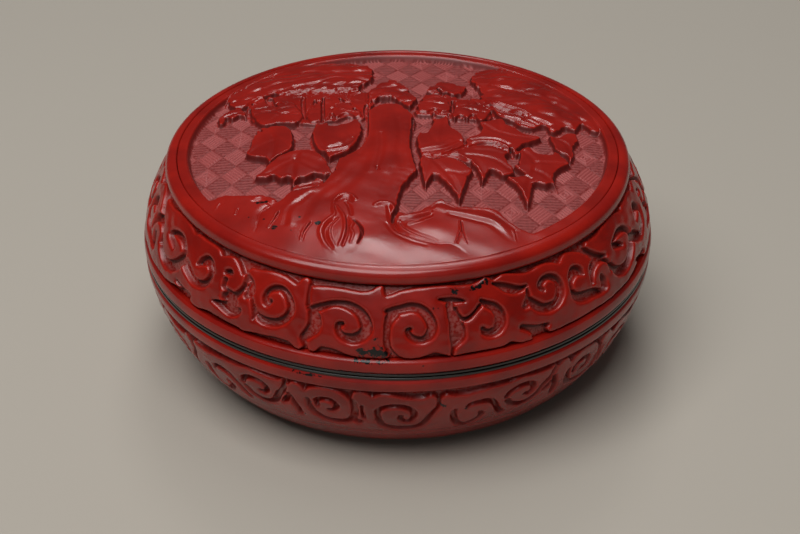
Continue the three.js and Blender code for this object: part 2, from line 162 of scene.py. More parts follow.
@dataclass
class Relief:
    """A height field over the flat of a surface, in mm: x across, y along.

    The field starts at zero everywhere. Strokes and outlines cut into it or stand on it.
    """

    left: float
    right: float
    bottom: float
    top: float
    columns: int
    rows: int
    wraps: bool = False
    height: np.ndarray = field(init=False)
    ground: np.ndarray = field(init=False)
    clear: np.ndarray = field(init=False)

    def __post_init__(self) -> None:
        """Lay out the empty field."""
        last = self.columns if self.wraps else self.columns + 1
        self.x = self.left + (self.right - self.left) * np.arange(last) / self.columns
        self.y = np.linspace(self.bottom, self.top, self.rows + 1)
        self.height = np.zeros((len(self.y), len(self.x)))
        self.ground = np.ones_like(self.height)
        self.clear = np.full_like(self.height, 4.0)

    def placements(self, line: np.ndarray, margin: float) -> Iterator[tuple[np.ndarray, slice, slice]]:
        """Find where a line touches the field, also a whole turn away on a field that wraps.

        Args:
            line: the line's points.
            margin: how far beside the line it works.

        Yields:
            The line in place, and the rows and columns that it can reach.
        """
        turn = self.right - self.left
        for shift in (-turn, 0.0, turn) if self.wraps else (0.0,):
            moved = line.copy()
            moved[:, 0] += shift
            low, high = moved[:, :2].min(axis=0) - margin, moved[:, :2].max(axis=0) + margin
            c0, c1 = np.searchsorted(self.x, (low[0], high[0]))
            r0, r1 = np.searchsorted(self.y, (low[1], high[1]))
            if r1 > r0 and c1 > c0:
                yield moved, slice(r0, r1), slice(c0, c1)

    def distance(self, line: np.ndarray, rows: slice, cols: slice, closed: bool) -> np.ndarray:
        """Measure how far each cell lies from a line.

        Args:
            line: the points, with half widths as a third column on a stroke.
            rows: the rows to measure.
            cols: the columns to measure.
            closed: whether the line is an outline.

        Returns:
            The distance outside the stroke or outline, negative inside it.
        """
        gx, gy = np.meshgrid(self.x[cols], self.y[rows])
        best = np.full(gx.shape, 1e3)
        inside = np.zeros(gx.shape, dtype=bool)
        ends = np.roll(line, -1, axis=0) if closed else line[1:]
        for a, b in zip(line, ends):
            dx, dy = b[0] - a[0], b[1] - a[1]
            span = max(dx * dx + dy * dy, 1e-12)
            t = np.clip(((gx - a[0]) * dx + (gy - a[1]) * dy) / span, 0, 1)
            away = np.hypot(gx - a[0] - t * dx, gy - a[1] - t * dy)
            if not closed and len(a) > 2:
                away -= a[2] + t * (b[2] - a[2])
            np.minimum(best, away, out=best)
            if closed and dy != 0:
                crosses = (a[1] > gy) != (b[1] > gy)
                inside ^= crosses & (gx < a[0] + (gy - a[1]) * dx / dy)
        return np.where(inside, -best, best)

    def mark(self, mark: "Mark") -> None:
        """Raise a rounded ridge along a stroke, or sink a crease or a slot along it.

        Args:
            mark: the stroke and how it changes the height.
        """
        line = spline(mark.stroke, closed=False)
        for moved, rows, cols in self.placements(line, line[:, 2].max() + mark.flank):
            d = self.distance(moved, rows, cols, closed=False)
            h = self.height[rows, cols]
            if mark.floor is None:
                self.height[rows, cols] = h + mark.rise * smooth_step(mark.flank, -line[:, 2].max(), d)
            else:
                share = smooth_step(mark.flank * 0.5, -mark.flank * 0.5, d)
                self.height[rows, cols] = h + (np.minimum(h, mark.floor) - h) * share

    def gouge(self, stroke: Stroke, reach: float) -> None:
        """Note how far each cell lies from a groove.

        Args:
            stroke: the groove's points and half widths.
            reach: how far beside it the distance matters.
        """
        line = spline(stroke, closed=False)
        for moved, rows, cols in self.placements(line, line[:, 2].max() + reach):
            d = self.distance(moved, rows, cols, closed=False)
            self.clear[rows, cols] = np.minimum(self.clear[rows, cols], d)

    def trim(self, contour: Sequence[Point], side: Side, reach: float) -> None:
        """Note how far each cell lies from a contour, negative on the side that is cut away.

        Args:
            contour: points from left to right, round the whole turn of the field.
            side: which side is cut away.
            reach: how far from it the distance matters.
        """
        line = spline(contour, closed=False)
        best = np.full(self.height.shape, reach)
        for start in range(0, len(line) - 1, 12):
            part = line[start : start + 13]
            for moved, rows, cols in self.placements(part, reach):
                near = self.distance(moved, rows, cols, closed=False)
                best[rows, cols] = np.minimum(best[rows, cols], near)
        level = np.interp(self.x, line[:, 0], line[:, 1], period=self.right - self.left)
        cut_away = (self.y[:, None] - level[None, :]) * side.value > 0
        np.minimum(self.clear, np.where(cut_away, -best, best), out=self.clear)

    def sink(self, floor: float, wall: float, reach: float, drop: float) -> None:
        """Sink what was noted as cut, and round over what stands beside it.

        Args:
            floor: the level of the floors.
            wall: how wide each wall is.
            reach: how far the rounding reaches over the raised parts.
            drop: how far it lowers their edges.
        """
        over = drop * (1 - np.clip(self.clear / reach, 0, 1)) ** 2
        top = self.height - blurred(over, 1, self.wraps)
        share = smooth_step(wall / 2, -wall / 2, self.clear)
        self.height = top + (floor - top) * share
        self.height = blurred(self.height, 1, self.wraps)

    def plateau(self, motif: "Motif") -> None:
        """Lay a raised shape over what is there, with a cut line round it and an edge cut by hand.

        Args:
            motif: the shape and how it stands.
        """
        line = spline(motif.outline, closed=True, steps=5)
        for moved, rows, cols in self.placements(line, motif.edge + motif.moat + 0.4):
            gx, gy = np.meshgrid(self.x[cols], self.y[rows])
            # The knife wandered more in the far half of the picture.
            wobble = 0.09 + 0.13 * smooth_step(10, 20, gy)
            d = self.distance(moved, rows, cols, closed=True) + wobble * ripple(gx, gy, 1.7, 31)
            h = self.height[rows, cols]
            if motif.moat > 0:
                ditch = smooth_step(motif.moat + 0.3, 0.0, d)
                h = h + (np.maximum(h - 2 * motif.moat, np.minimum(h, 0.0)) - h) * ditch
            body = motif.level + motif.dome * (1 - np.exp(np.minimum(d, 0) / motif.falloff))
            share = smooth_step(0.08, -motif.edge, d)
            self.height[rows, cols] = np.where(d < 0.08, h * (1 - share) + body * share, h)
            self.ground[rows, cols] *= smooth_step(-0.1, 0.3, d)

    def steepness(self) -> np.ndarray:
        """How sharply each cell slopes, from 0 on rubbed tops and floors to 1 on a cut wall."""
        height = self.height
        if self.wraps:
            height = np.pad(height, ((0, 0), (1, 1)), mode="wrap")
        along, across = np.gradient(height, self.y[1] - self.y[0], self.x[1] - self.x[0])
        slope = np.hypot(along, across)
        return smooth_step(0.8, 1.8, slope[:, 1:-1] if self.wraps else slope)

    def overhang(self, reach: float, up: int) -> np.ndarray:
        """How deep each cell lies under the edges above it.

        Args:
            reach: how far up an edge may be.
            up: 1 where the rows run upward on the box, -1 where they run downward.

        Returns:
            The depth in mm, zero on open tops.
        """
        count = int(round(reach / (self.y[1] - self.y[0])))
        padded = np.pad(self.height, ((count, count), (0, 0)), mode="edge")
        rows = len(self.y)
        deepest = np.zeros_like(self.height)
        for cells in range(1, count + 1):
            start = count + cells * up
            np.maximum(deepest, padded[start : start + rows] - self.height, out=deepest)
        return deepest

    def cavity(self, reach: float) -> np.ndarray:
        """How far each cell lies below its neighbourhood, in mm, negative on crests."""
        cells = max(2, int(round(reach / (self.y[1] - self.y[0]))))
        return blurred(self.height, cells, self.wraps) - self.height

    def sample(self, values: np.ndarray, x: np.ndarray, y: np.ndarray) -> np.ndarray:
        """Read a field between its cells.

        Args:
            values: one of the fields of this relief.
            x: places across.
            y: places along.

        Returns:
            The values there.
        """
        c = np.clip((x - self.x[0]) / (self.x[1] - self.x[0]), 0, len(self.x) - 1.001)
        r = np.clip((y - self.y[0]) / (self.y[1] - self.y[0]), 0, len(self.y) - 1.001)
        c0, r0 = c.astype(int), r.astype(int)
        c, r = c - c0, r - r0
        low = values[r0, c0] * (1 - c) + values[r0, c0 + 1] * c
        high = values[r0 + 1, c0] * (1 - c) + values[r0 + 1, c0 + 1] * c
        return low * (1 - r) + high * r


@dataclass(frozen=True)
class WallArc:
    """An arc of wall in mm, from the seam to its far end, that bulges away from the axis."""

    start: Point
    end: Point
    bulge: float

    @cached_property
    def radius(self) -> float:
        """The radius of the arc."""
        half = math.dist(self.start, self.end) / 2
        return (half**2 + self.bulge**2) / (2 * self.bulge)

    @cached_property
    def centre(self) -> Point:
        """The middle of the arc's circle."""
        across, rise = self.end[0] - self.start[0], self.end[1] - self.start[1]
        length = math.hypot(across, rise)
        outward = (rise / length, -across / length) if rise > 0 else (-rise / length, across / length)
        shift = self.bulge - self.radius
        return tuple((s + e) / 2 + o * shift for s, e, o in zip(self.start, self.end, outward))

    @cached_property
    def length(self) -> float:
        """The length of the arc."""
        return abs(self.angle(self.end) - self.angle(self.start)) * self.radius

    def angle(self, point: Point) -> float:
        """The direction of a point seen from the middle of the circle."""
        return math.atan2(point[1] - self.centre[1], point[0] - self.centre[0])

    def at(self, run: np.ndarray, inset: np.ndarray | float = 0.0) -> np.ndarray:
        """Find points by their distance along the wall from the seam.

        Args:
            run: distances along the wall.
            inset: how far in from the wall, square to it.

        Returns:
            Radius and height of each point, in a last axis of two.
        """
        way = math.copysign(1, self.end[1] - self.start[1])
        turn = self.angle(self.start) + way * np.asarray(run, dtype=float) / self.radius
        reach = self.radius - inset
        return np.stack([self.centre[0] + reach * np.cos(turn), self.centre[1] + reach * np.sin(turn)], -1)


@dataclass(frozen=True)
class BoxShape:
    """The sizes that the pieces share, in mm, with heights from the seam."""

    seam_radius: float = 51.5
    groove_radius: float = 46.1
    groove_height: float = 16.4
    lid_bulge: float = 1.5
    panel_radius: float = 43.7
    panel_edge: float = 19.2
    crown_rise: float = 2.4
    turn_radius: float = 42.5
    turn_depth: float = 21.0
    base_bulge: float = 2.0
    underside: float = 22.0
    foot_radius: float = 38.6
    foot_width: float = 2.6
    coat: float = 2.0
    glue: float = 0.1
    core_wall: float = 3.0
    core_top: float = 2.2
    lining: float = 0.4
    fillet: float = 3.0
    half_gap: float = 0.15
    edge_face: float = 0.65
    edge_radius: float = 51.25
    lip_rise: float = 4.2
    lip_root: float = 5.0
    lip_width: float = 1.3
    lip_clearance: float = 0.3
    rebate: float = 5.0
    wall_lean: float = 0.12

    @cached_property
    def seam_level(self) -> float:
        """The height of the seam above the foot, read off the frame."""
        lid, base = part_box("lid_seam_edge")[0].z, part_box("base_seam_edge")[1].z
        return (lid + base) / 2 / MM

    @cached_property
    def lid_wall(self) -> WallArc:
        """The wall of the lid."""
        return WallArc((self.seam_radius, 0.0), (self.groove_radius, self.groove_height), self.lid_bulge)

    @cached_property
    def base_wall(self) -> WallArc:
        """The wall of the base."""
        return WallArc((self.seam_radius, 0.0), (self.turn_radius, -self.turn_depth), self.base_bulge)

    @property
    def core_back(self) -> float:
        """How far in from the face the back of the core's wall lies."""
        return self.coat + self.glue + self.core_wall + self.glue

    @cached_property
    def lip_outer(self) -> float:
        """The radius of the lip that guides the lid."""
        run = self.lip_root / math.cos(self.wall_lean)
        return float(self.base_wall.at(run, self.core_back + self.lining)[0]) + self.lip_width

    @property
    def bore(self) -> float:
        """The radius of the bore that slides over the lip."""
        return self.lip_outer + self.lip_clearance

    def crown(self, radius: np.ndarray | float, depth: float = 0.0) -> np.ndarray | float:
        """Height of the crown at a radius, lowered by a depth."""
        return self.panel_edge + self.crown_rise * (1 - (radius / self.panel_radius) ** 2) - depth


SHAPE = BoxShape()


def bend(start: np.ndarray, corner: np.ndarray, end: np.ndarray, shares: np.ndarray) -> np.ndarray:
    """Points of a smooth bend inside a corner, at some shares of the way."""
    t = shares[:, None]
    return (1 - t) ** 2 * start + 2 * t * (1 - t) * corner + t**2 * end


def rounded(corners: Sequence[Point], radii: Sequence[float] | float) -> np.ndarray:
    """Round the corners of a closed profile.

    Args:
        corners: the corners, in order.
        radii: the radius of each corner, or of all.

    Returns:
        The points of the rounded profile.
    """
    ring = np.asarray(corners, dtype=float)
    sizes = np.broadcast_to(np.asarray(radii, dtype=float), (len(ring),))
    points: list[np.ndarray] = []
    for i, (corner, size) in enumerate(zip(ring, sizes)):
        before, after = ring[i - 1] - corner, ring[(i + 1) % len(ring)] - corner
        reach = min(size, np.linalg.norm(before) * 0.45, np.linalg.norm(after) * 0.45)
        if reach < 1e-6 or corner[0] == 0:
            points.append(corner[None, :])
            continue
        start = corner + before / np.linalg.norm(before) * reach
        end = corner + after / np.linalg.norm(after) * reach
        points.append(bend(start, corner, end, np.linspace(0, 1, 5)))
    return np.vstack(points)


def turn_points(profile: np.ndarray, columns: int) -> np.ndarray:
    """Turn a profile round the axis.

    Args:
        profile: radius and height of each point in mm, heights from the seam. Its first axis is the
            ring, and a middle axis, where it has one, is the column.
        columns: how many columns a whole turn has.

    Returns:
        Points in metres in the frame of the solids, as rings by columns by three.
    """
    angle = np.arange(columns) / columns * TAU - TAU / 4
    radius, height = profile[..., 0], profile[..., 1]
    if radius.ndim == 1:
        radius, height = radius[:, None], height[:, None]
    height = np.broadcast_to(height + SHAPE.seam_level, (radius.shape[0], columns))
    points = np.stack([radius * np.cos(angle), radius * np.sin(angle), height], -1)
    return points * MM


@dataclass
class MeshSheet:
    """Points, faces and a flat map for each face, gathered for one closed mesh."""

    points: list[np.ndarray] = field(default_factory=list)
    faces: list[np.ndarray] = field(default_factory=list)
    maps: list[np.ndarray] = field(default_factory=list)
    total: int = 0

    def add_points(self, points: np.ndarray) -> np.ndarray:
        """Add points and return their numbers, in the same layout."""
        flat = points.reshape(-1, 3)
        self.points.append(flat)
        first = self.total
        self.total += len(flat)
        return np.arange(first, self.total).reshape(points.shape[:-1])

    def add_grid(self, numbers: np.ndarray, across: np.ndarray, along: np.ndarray) -> None:
        """Join a grid of points with quads.

        Args:
            numbers: the point numbers, as rows by columns.
            across: map places of each column.
            along: map places of each row.
        """
        low, high = numbers[:-1], numbers[1:]
        quads = np.stack([low[:, :-1], low[:, 1:], high[:, 1:], high[:, :-1]], -1)
        u, v = np.meshgrid(across, along)
        grid = np.stack([u, v], -1)
        places = np.stack([grid[:-1, :-1], grid[:-1, 1:], grid[1:, 1:], grid[1:, :-1]], -2)
        self.faces.append(quads.reshape(-1, 4))
        self.maps.append(places.reshape(-1, 4, 2))

    def add_rings(self, rings: np.ndarray, along: np.ndarray, strips: int,
                  floor: float = 0.0, ceiling: float = 1.0) -> None:
        """Join rings of points round the axis, with the map cut into strips one above another.

        Args:
            rings: the point numbers, as rings by columns; each ring runs a whole turn.
            along: how far along the profile each ring is, from 0 to 1.
            strips: how many strips the map is cut into.
            floor: where the map starts.
            ceiling: where the map ends.
        """
        columns = rings.shape[1]
        width = columns // strips
        closed = np.hstack([rings, rings[:, :1]])
        tall = (ceiling - floor) / strips
        for strip in range(strips):
            part = closed[:, strip * width : (strip + 1) * width + 1]
            rise = floor + tall * (strip + 0.02 + 0.96 * along)
            self.add_grid(part, np.linspace(0.002, 0.998, width + 1), rise)

    def add_tip(self, tip: int, ring: np.ndarray, inward: bool, floor: float, ceiling: float) -> None:
        """Close a ring with triangles to a point on the axis.

        Args:
            tip: the number of the point on the axis.
            ring: the numbers of the ring.
            inward: whether the faces run from the ring to the tip.
            floor: where the map starts.
            ceiling: where the map ends.
        """
        u = np.linspace(0.002, 0.998, len(ring) + 1)
        after = np.roll(ring, -1)
        far = np.full(len(ring), tip)
        corners = (ring, after, far) if inward else (after, ring, far)
        near_v, far_v = (floor, ceiling) if inward else (ceiling, floor)
        first, second = (u[:-1], u[1:]) if inward else (u[1:], u[:-1])
        flat = [np.stack([first, np.full_like(first, near_v)], -1),
                np.stack([second, np.full_like(first, near_v)], -1),
                np.stack([(first + second) / 2, np.full_like(first, far_v)], -1)]
        self.faces.append(np.stack(corners, -1))
        self.maps.append(np.stack(flat, 1))

    def build(self, name: str) -> bpy.types.Object:
        """Make the object.

        Args:
            name: the name of the piece.

        Returns:
            The object, linked to the scene, with smooth faces.
        """
        mesh = bpy.data.meshes.new(name)
        corners = np.concatenate([f.reshape(-1) for f in self.faces]).astype(np.int32)
        counts = np.concatenate([np.full(len(f), f.shape[1], np.int32) for f in self.faces])
        mesh.vertices.add(self.total)
        mesh.vertices.foreach_set("co", np.vstack(self.points).astype(np.float32).ravel())
        mesh.loops.add(len(corners))
        mesh.loops.foreach_set("vertex_index", corners)
        mesh.polygons.add(len(counts))
        starts = np.concatenate([[0], np.cumsum(counts)[:-1]]).astype(np.int32)
        mesh.polygons.foreach_set("loop_start", starts)
        mesh.polygons.foreach_set("use_smooth", np.ones(len(counts), dtype=bool))
        flat = mesh.uv_layers.new(name="OFBake")
        flat.data.foreach_set("uv", np.concatenate([m.reshape(-1) for m in self.maps]).astype(np.float32))
        mesh.update(calc_edges=True)
        mesh.validate()
        piece = bpy.data.objects.new(name, mesh)
        bpy.context.scene.collection.objects.link(piece)
        return piece


def set_field(piece: bpy.types.Object, name: str, values: np.ndarray) -> None:
    """Store one number for each point of a piece, under a name that its material reads."""
    layer = piece.data.attributes.new(name, "FLOAT", "POINT")
    layer.data.foreach_set("value", values.reshape(-1).astype(np.float32))


@dataclass(frozen=True)
class Chip:
    """A place where the red is worn or broken down to the black under it."""

    degrees: float
    run: float
    size: float
    length: float = 0.0

    def places(self, wall: WallArc) -> np.ndarray:
        """The points along its middle, in mm in the frame of the solids, for a length in degrees."""
        radius, height = wall.at(self.run)
        angle = np.radians(self.degrees + np.linspace(0, self.length, 1 + int(2 * self.length))) - TAU / 4
        level = np.full_like(angle, height + SHAPE.seam_level)
        return np.stack([radius * np.cos(angle), radius * np.sin(angle), level], -1)


def set_wear(piece: bpy.types.Object, wall: WallArc, chips: Sequence[Chip]) -> None:
    """Store how worn each point of a piece is, from 0, whole, to 1, in the middle of a worn place.

    Args:
        piece: the object.
        wall: the wall that it lies on.
        chips: the worn places.
    """
    places = np.empty(len(piece.data.vertices) * 3, np.float32)
    piece.data.vertices.foreach_get("co", places)
    points = places.reshape(-1, 3).astype(float) / MM
    worn = np.zeros(len(points))
    for chip in chips:
        for middle in chip.places(wall):
            near = 1 - np.linalg.norm(points - middle, axis=1) / (WEAR_REACH * chip.size)
            np.maximum(worn, near, out=worn)
    set_field(piece, "worn", np.clip(worn, 0, 1))


def turned_piece(name: str, profile: np.ndarray, columns: int) -> bpy.types.Object:
    """Turn a closed profile into a piece.

    Args:
        name: the name of the piece.
        profile: radius and height of each point in mm, closed on itself, or with its first and last
            points on the axis.
        columns: how many columns a whole turn has.

    Returns:
        The object, with its sharp edges kept sharp.
    """
    ahead = np.roll(profile, -1, axis=0)
    if np.sum(profile[:, 0] * ahead[:, 1] - ahead[:, 0] * profile[:, 1]) < 0:
        profile = profile[::-1]
    sheet = MeshSheet()
    meets_axis = bool(np.any(profile[:, 0] == 0))
    if meets_axis:
        while profile[0, 0] != 0 or profile[-1, 0] != 0:
            profile = np.roll(profile, -1, axis=0)
        first, last, body = profile[0], profile[-1], profile[1:-1]
    else:
        body = profile
    rings = sheet.add_points(turn_points(body, columns))
    if not meets_axis:
        rings = np.vstack([rings, rings[:1]])
        body = np.vstack([body, body[:1]])
    steps = np.linalg.norm(np.diff(body, axis=0), axis=1)
    along = np.concatenate([[0.0], np.cumsum(steps)]) / steps.sum()
    edge = 0.04 if meets_axis else 0.0
    sheet.add_rings(rings, along, 6, edge, 1 - edge)
    if meets_axis:
        for place, ring, inward, low in ((first, rings[0], False, 0.0), (last, rings[-1], True, 1 - edge)):
            tip = sheet.add_points(np.array([[0.0, 0.0, (place[1] + SHAPE.seam_level) * MM]]))
            sheet.add_tip(int(tip[0]), ring, inward, low, low + edge)
    piece = sheet.build(name)
    piece.data.set_sharp_from_angle(angle=math.radians(SHARP_DEGREES))
    return piece


def add_node(tree: bpy.types.NodeTree, kind: str, inputs: Optional[dict[str | int, Any]] = None,
             **settings: Any) -> bpy.types.Node:
    """Add a shader node, set it up and link what feeds it.

    Args:
        tree: the node tree.
        kind: the node's type, without the words that all of them start with.
        inputs: a value, or the socket that feeds it, by input name or number.
        settings: its properties.

    Returns:
        The node.
    """
    made = tree.nodes.new("ShaderNode" + kind)
    for name, value in settings.items():
        setattr(made, name, value)
    for name, value in (inputs or {}).items():
        if isinstance(value, bpy.types.NodeSocket):
            tree.links.new(value, made.inputs[name])
        else:
            made.inputs[name].default_value = value
    return made


MIX_A, MIX_B, MIXED = 6, 7, 2  # the colour sockets of a mix node
PER_MM = 1 / MM
WAVE_SCALE = TAU * PER_MM / 20  # the scale of a wave texture with a period of 1 mm


def new_tree(name: str) -> tuple[bpy.types.Material, bpy.types.NodeTree]:
    """Make an empty node material."""
    material = bpy.data.materials.new(name)
    material.use_nodes = True
    material.node_tree.nodes.clear()
    return material, material.node_tree


@dataclass(frozen=True)
class CarvedCinnabar:
    """Cinnabar lacquer: many coats of red lacquer, knife-cut and rubbed with ash to a satin.

    The eye gets a deep blood red on the rubbed tops, a painted highlight of brighter red on thin crests,
    a dark unrubbed red on each wall that the knife left, laid on also as painted shade under overhanging
    edges, painted shade of near black in the narrow cuts and hollows, pinkish dust that no cloth reaches on
    the low ground, a hatched ground with lozenges painted darker or lighter in place of sheen, and a soft
    sheen.
    """

    name: str
    body: str = "#94150A"
    shade: str = "#7C0F07"
    # A painted highlight: brighter red on thin crests.
    crest_highlight: str = "#A51A0D"
    # Dark red of the unrubbed cut walls, also laid on as painted shade under overhanging edges.
    cut: str = "#580B06"
    # Painted shade: near black in the narrow cuts and hollows.
    deep: str = "#1C0302"
    dust: str = "#A5605A"
    line: str = "#66100B"
    black: str = "#060505"
    roughness: float = 0.2
    dust_share: float = 0.45
    cloud_mm: float = 9.0
    grain_mm: float = 0.55
    scratch_mm: float = 0.9

    def build(self) -> bpy.types.Material:
        """Make the material, which reads the depth, cavity, wall and shade, ground, hatch and worn fields off
        the piece.
        """
        material, tree = new_tree(self.name)
        place = add_node(tree, "TexCoord").outputs["Object"]
        fields = {name: add_node(tree, "Attribute", attribute_name=name).outputs["Fac"]
                  for name in ("depth", "cavity", "wall_and_shade", "ground", "hatch", "worn")}
        cloud, grain, ragged = (
            add_node(tree, "TexNoise", {"Vector": place, "Scale": PER_MM / size, "Detail": detail,
                                        "Roughness": rough}).outputs["Fac"]
            for size, detail, rough in ((self.cloud_mm, 4.0, 0.5), (self.grain_mm, 3.0, 0.5),
                                        (self.scratch_mm, 5.0, 0.7)))
        # The ground's colour runs from dust to the line colour by the hatch field, which is darker along the
        # cut lines and holds lozenges painted darker or lighter for sheen.
        lines = add_node(tree, "Mix", {0: fields["hatch"], MIX_A: linear(self.dust),
                                       MIX_B: linear(self.line)}, data_type="RGBA")
        low = add_node(tree, "MapRange", {"Value": fields["depth"], "From Min": 0.6, "From Max": 1.15,
                                          "To Max": self.dust_share})
        settled = add_node(tree, "MapRange", {"Value": grain, "From Min": 0.42, "From Max": 0.62})
        dusty = add_node(tree, "Math", {0: low.outputs["Result"], 1: settled.outputs["Result"]},
                         operation="MULTIPLY", use_clamp=True).outputs[0]
        broken = add_node(tree, "MapRange", {"Value": ragged, "From Min": 0.36, "From Max": 0.64})
        torn = add_node(tree, "Math", {0: fields["worn"], 1: broken.outputs["Result"]}, operation="ADD")
        # Each layer: what brings it out, where it starts, where it is full, its most, and its colour. The
        # layer for
        # # crests is a painted highlight; the ground layer holds lozenges painted darker or lighter for
        # sheen; the
        # # wall layer is the unrubbed cut red and partly painted shade under overhangs; the second cavity
        # layer is
        # # painted shade in the narrow cuts.
        layers = (
            (cloud, 0.35, 0.65, 1.0, linear(self.body)),
            (fields["cavity"], -0.08, -0.35, 1.0, linear(self.crest_highlight)),
            (fields["ground"], 0.0, 1.0, 0.85, lines.outputs[MIXED]),
            (dusty, 0.0, 1.0, 1.0, linear(self.dust)),
            (fields["wall_and_shade"], 0.0, 1.0, 0.9, linear(self.cut)),
            (fields["cavity"], 0.3, 0.7, 0.85, linear(self.deep)),
            (torn.outputs[0], 1.0, 1.1, 1.0, linear(self.black)),
        )
        colour: Any = linear(self.shade)
        for source, start, full, most, tint in layers:
            share = add_node(tree, "MapRange", {"Value": source, "From Min": start, "From Max": full,
                                                "To Max": most})
            colour = add_node(tree, "Mix", {0: share.outputs["Result"], MIX_A: colour, MIX_B: tint},
                              data_type="RGBA").outputs[MIXED]
        matt: Any = self.roughness
        for source, share in ((cloud, 0.06), (dusty, 0.5), (fields["wall_and_shade"], 0.3), (fields["ground"], 0.3)):
            matt = add_node(tree, "Math", {0: source, 1: share, 2: matt}, operation="MULTIPLY_ADD",
                            use_clamp=True).outputs[0]
        rough = add_node(tree, "Math", {0: grain, 1: ragged}, operation="ADD")
        bump = add_node(tree, "Bump", {"Height": rough.outputs[0], "Strength": 0.12,
                                       "Distance": 0.05 * MM})
        shader = add_node(tree, "BsdfPrincipled", {"Base Color": colour, "Roughness": matt, "IOR": 1.48,
                                                   "Normal": bump.outputs["Normal"]})
        add_node(tree, "OutputMaterial", {"Surface": shader.outputs["BSDF"]})
        return material


@dataclass(frozen=True)
class BlackLacquer:
    """Plain black lacquer, brushed on and polished.

    The eye gets a deep brownish black with a clear soft gloss, faint wiping marks and a little dust.
    """

    name: str
    body: str = "#171310"
    worn: str = "#4A4038"
    roughness: float = 0.24
    cloud_mm: float = 14.0
    speck_mm: float = 0.6

    def build(self) -> bpy.types.Material:
        """Make the material."""
        material, tree = new_tree(self.name)
        place = add_node(tree, "TexCoord").outputs["Object"]
        cloud, speck = (
            add_node(tree, "TexNoise", {"Vector": place, "Scale": PER_MM / size, "Detail": detail,
                                        "Roughness": rough}).outputs["Fac"]
            for size, detail, rough in ((self.cloud_mm, 6.0, 0.65), (self.speck_mm, 2.0, 0.5)))
        rubbed = add_node(tree, "MapRange", {"Value": cloud, "From Min": 0.5, "From Max": 0.75,
                                             "To Max": 0.35})
        colour = add_node(tree, "Mix", {0: rubbed.outputs["Result"], MIX_A: linear(self.body),
                                        MIX_B: linear(self.worn)}, data_type="RGBA")
        matt = add_node(tree, "Math", {0: cloud, 1: 0.2, 2: self.roughness}, operation="MULTIPLY_ADD",
                        use_clamp=True)
        bump = add_node(tree, "Bump", {"Height": speck, "Strength": 0.05, "Distance": 0.03 * MM})
        shader = add_node(tree, "BsdfPrincipled", {
            "Base Color": colour.outputs[MIXED], "Roughness": matt.outputs[0], "IOR": 1.52,
            "Coat Weight": 0.3, "Coat Roughness": 0.08, "Normal": bump.outputs["Normal"]})
        add_node(tree, "OutputMaterial", {"Surface": shader.outputs["BSDF"]})
        return material


@dataclass(frozen=True)
class TurnedWood:
    """Straight-grained softwood, turned on a lathe and left bare under the lacquer.

    The eye gets the wide pale and darker bands of a fast-grown tree and the rings of the tool.
    """

    name: str
    pale: str = "#B08A5C"
    dark: str = "#7A5A38"
    band_mm: float = 11.31
    tool_mm: float = 3.142

    def build(self) -> bpy.types.Material:
        """Make the material."""
        material, tree = new_tree(self.name)
        place = add_node(tree, "TexCoord").outputs["Object"]
        bands = add_node(tree, "TexWave", {"Vector": place, "Scale": WAVE_SCALE / self.band_mm,
                                           "Distortion": 4.0, "Detail": 3.0}, bands_direction="X")
        colour = add_node(tree, "Mix", {0: bands.outputs["Fac"], MIX_A: linear(self.pale),
                                        MIX_B: linear(self.dark)}, data_type="RGBA")
        rings = add_node(tree, "TexWave", {"Vector": place, "Scale": WAVE_SCALE / self.tool_mm},
                         bands_direction="Z")
        bump = add_node(tree, "Bump", {"Height": rings.outputs["Fac"], "Strength": 0.2,
                                       "Distance": 0.05 * MM})
        shader = add_node(tree, "BsdfPrincipled", {"Base Color": colour.outputs[MIXED], "Roughness": 0.75,
                                                   "Normal": bump.outputs["Normal"]})
        add_node(tree, "OutputMaterial", {"Surface": shader.outputs["BSDF"]})
        return material


RED = CarvedCinnabar("cinnabar_lacquer_carved_satin")
PICTURE_RED = CarvedCinnabar("cinnabar_lacquer_carved_picture", dust="#9E4C4A", dust_share=0.35)
BAND_RED = CarvedCinnabar("cinnabar_lacquer_rubbed_band", body="#9A170B", shade="#80100A")
BLACK = BlackLacquer("black_lacquer_polished")
WOOD = TurnedWood("softwood_turned_bare")


def dress(piece: bpy.types.Object, finish: bpy.types.Material) -> None:
    """Give a piece its material."""
    piece.data.materials.clear()
    piece.data.materials.append(finish)


def settle(piece: bpy.types.Object, finish: bpy.types.Material, body: Body, node: str) -> None:
    """Dress a piece, let it ride on its body in place of a solid, and report it."""
    dress(piece, finish)
    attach(piece, body.value)
    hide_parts(node)
    log.info("%s: %d points in place of %s", piece.name, len(piece.data.vertices), node)


@dataclass(frozen=True)
class Mark:
    """A ridge, a crease or a slot in the picture, along a stroke in mm."""

    stroke: Stroke
    rise: float = 0.0
    flank: float = 0.4
    floor: Optional[float] = None


@dataclass(frozen=True)
class Motif:
    """One raised shape of the picture, in mm.

    It stands at its level over the ground, and its middle is higher by the dome, which is reached at
    about the falloff from the edge. The edge is rounded, and a cut line, the moat, runs round it.
    """

    outline: Sequence[Point]
    level: float = 1.2
    dome: float = 0.2
    edge: float = 0.45
    moat: float = 0.12
    falloff: float = 2.5


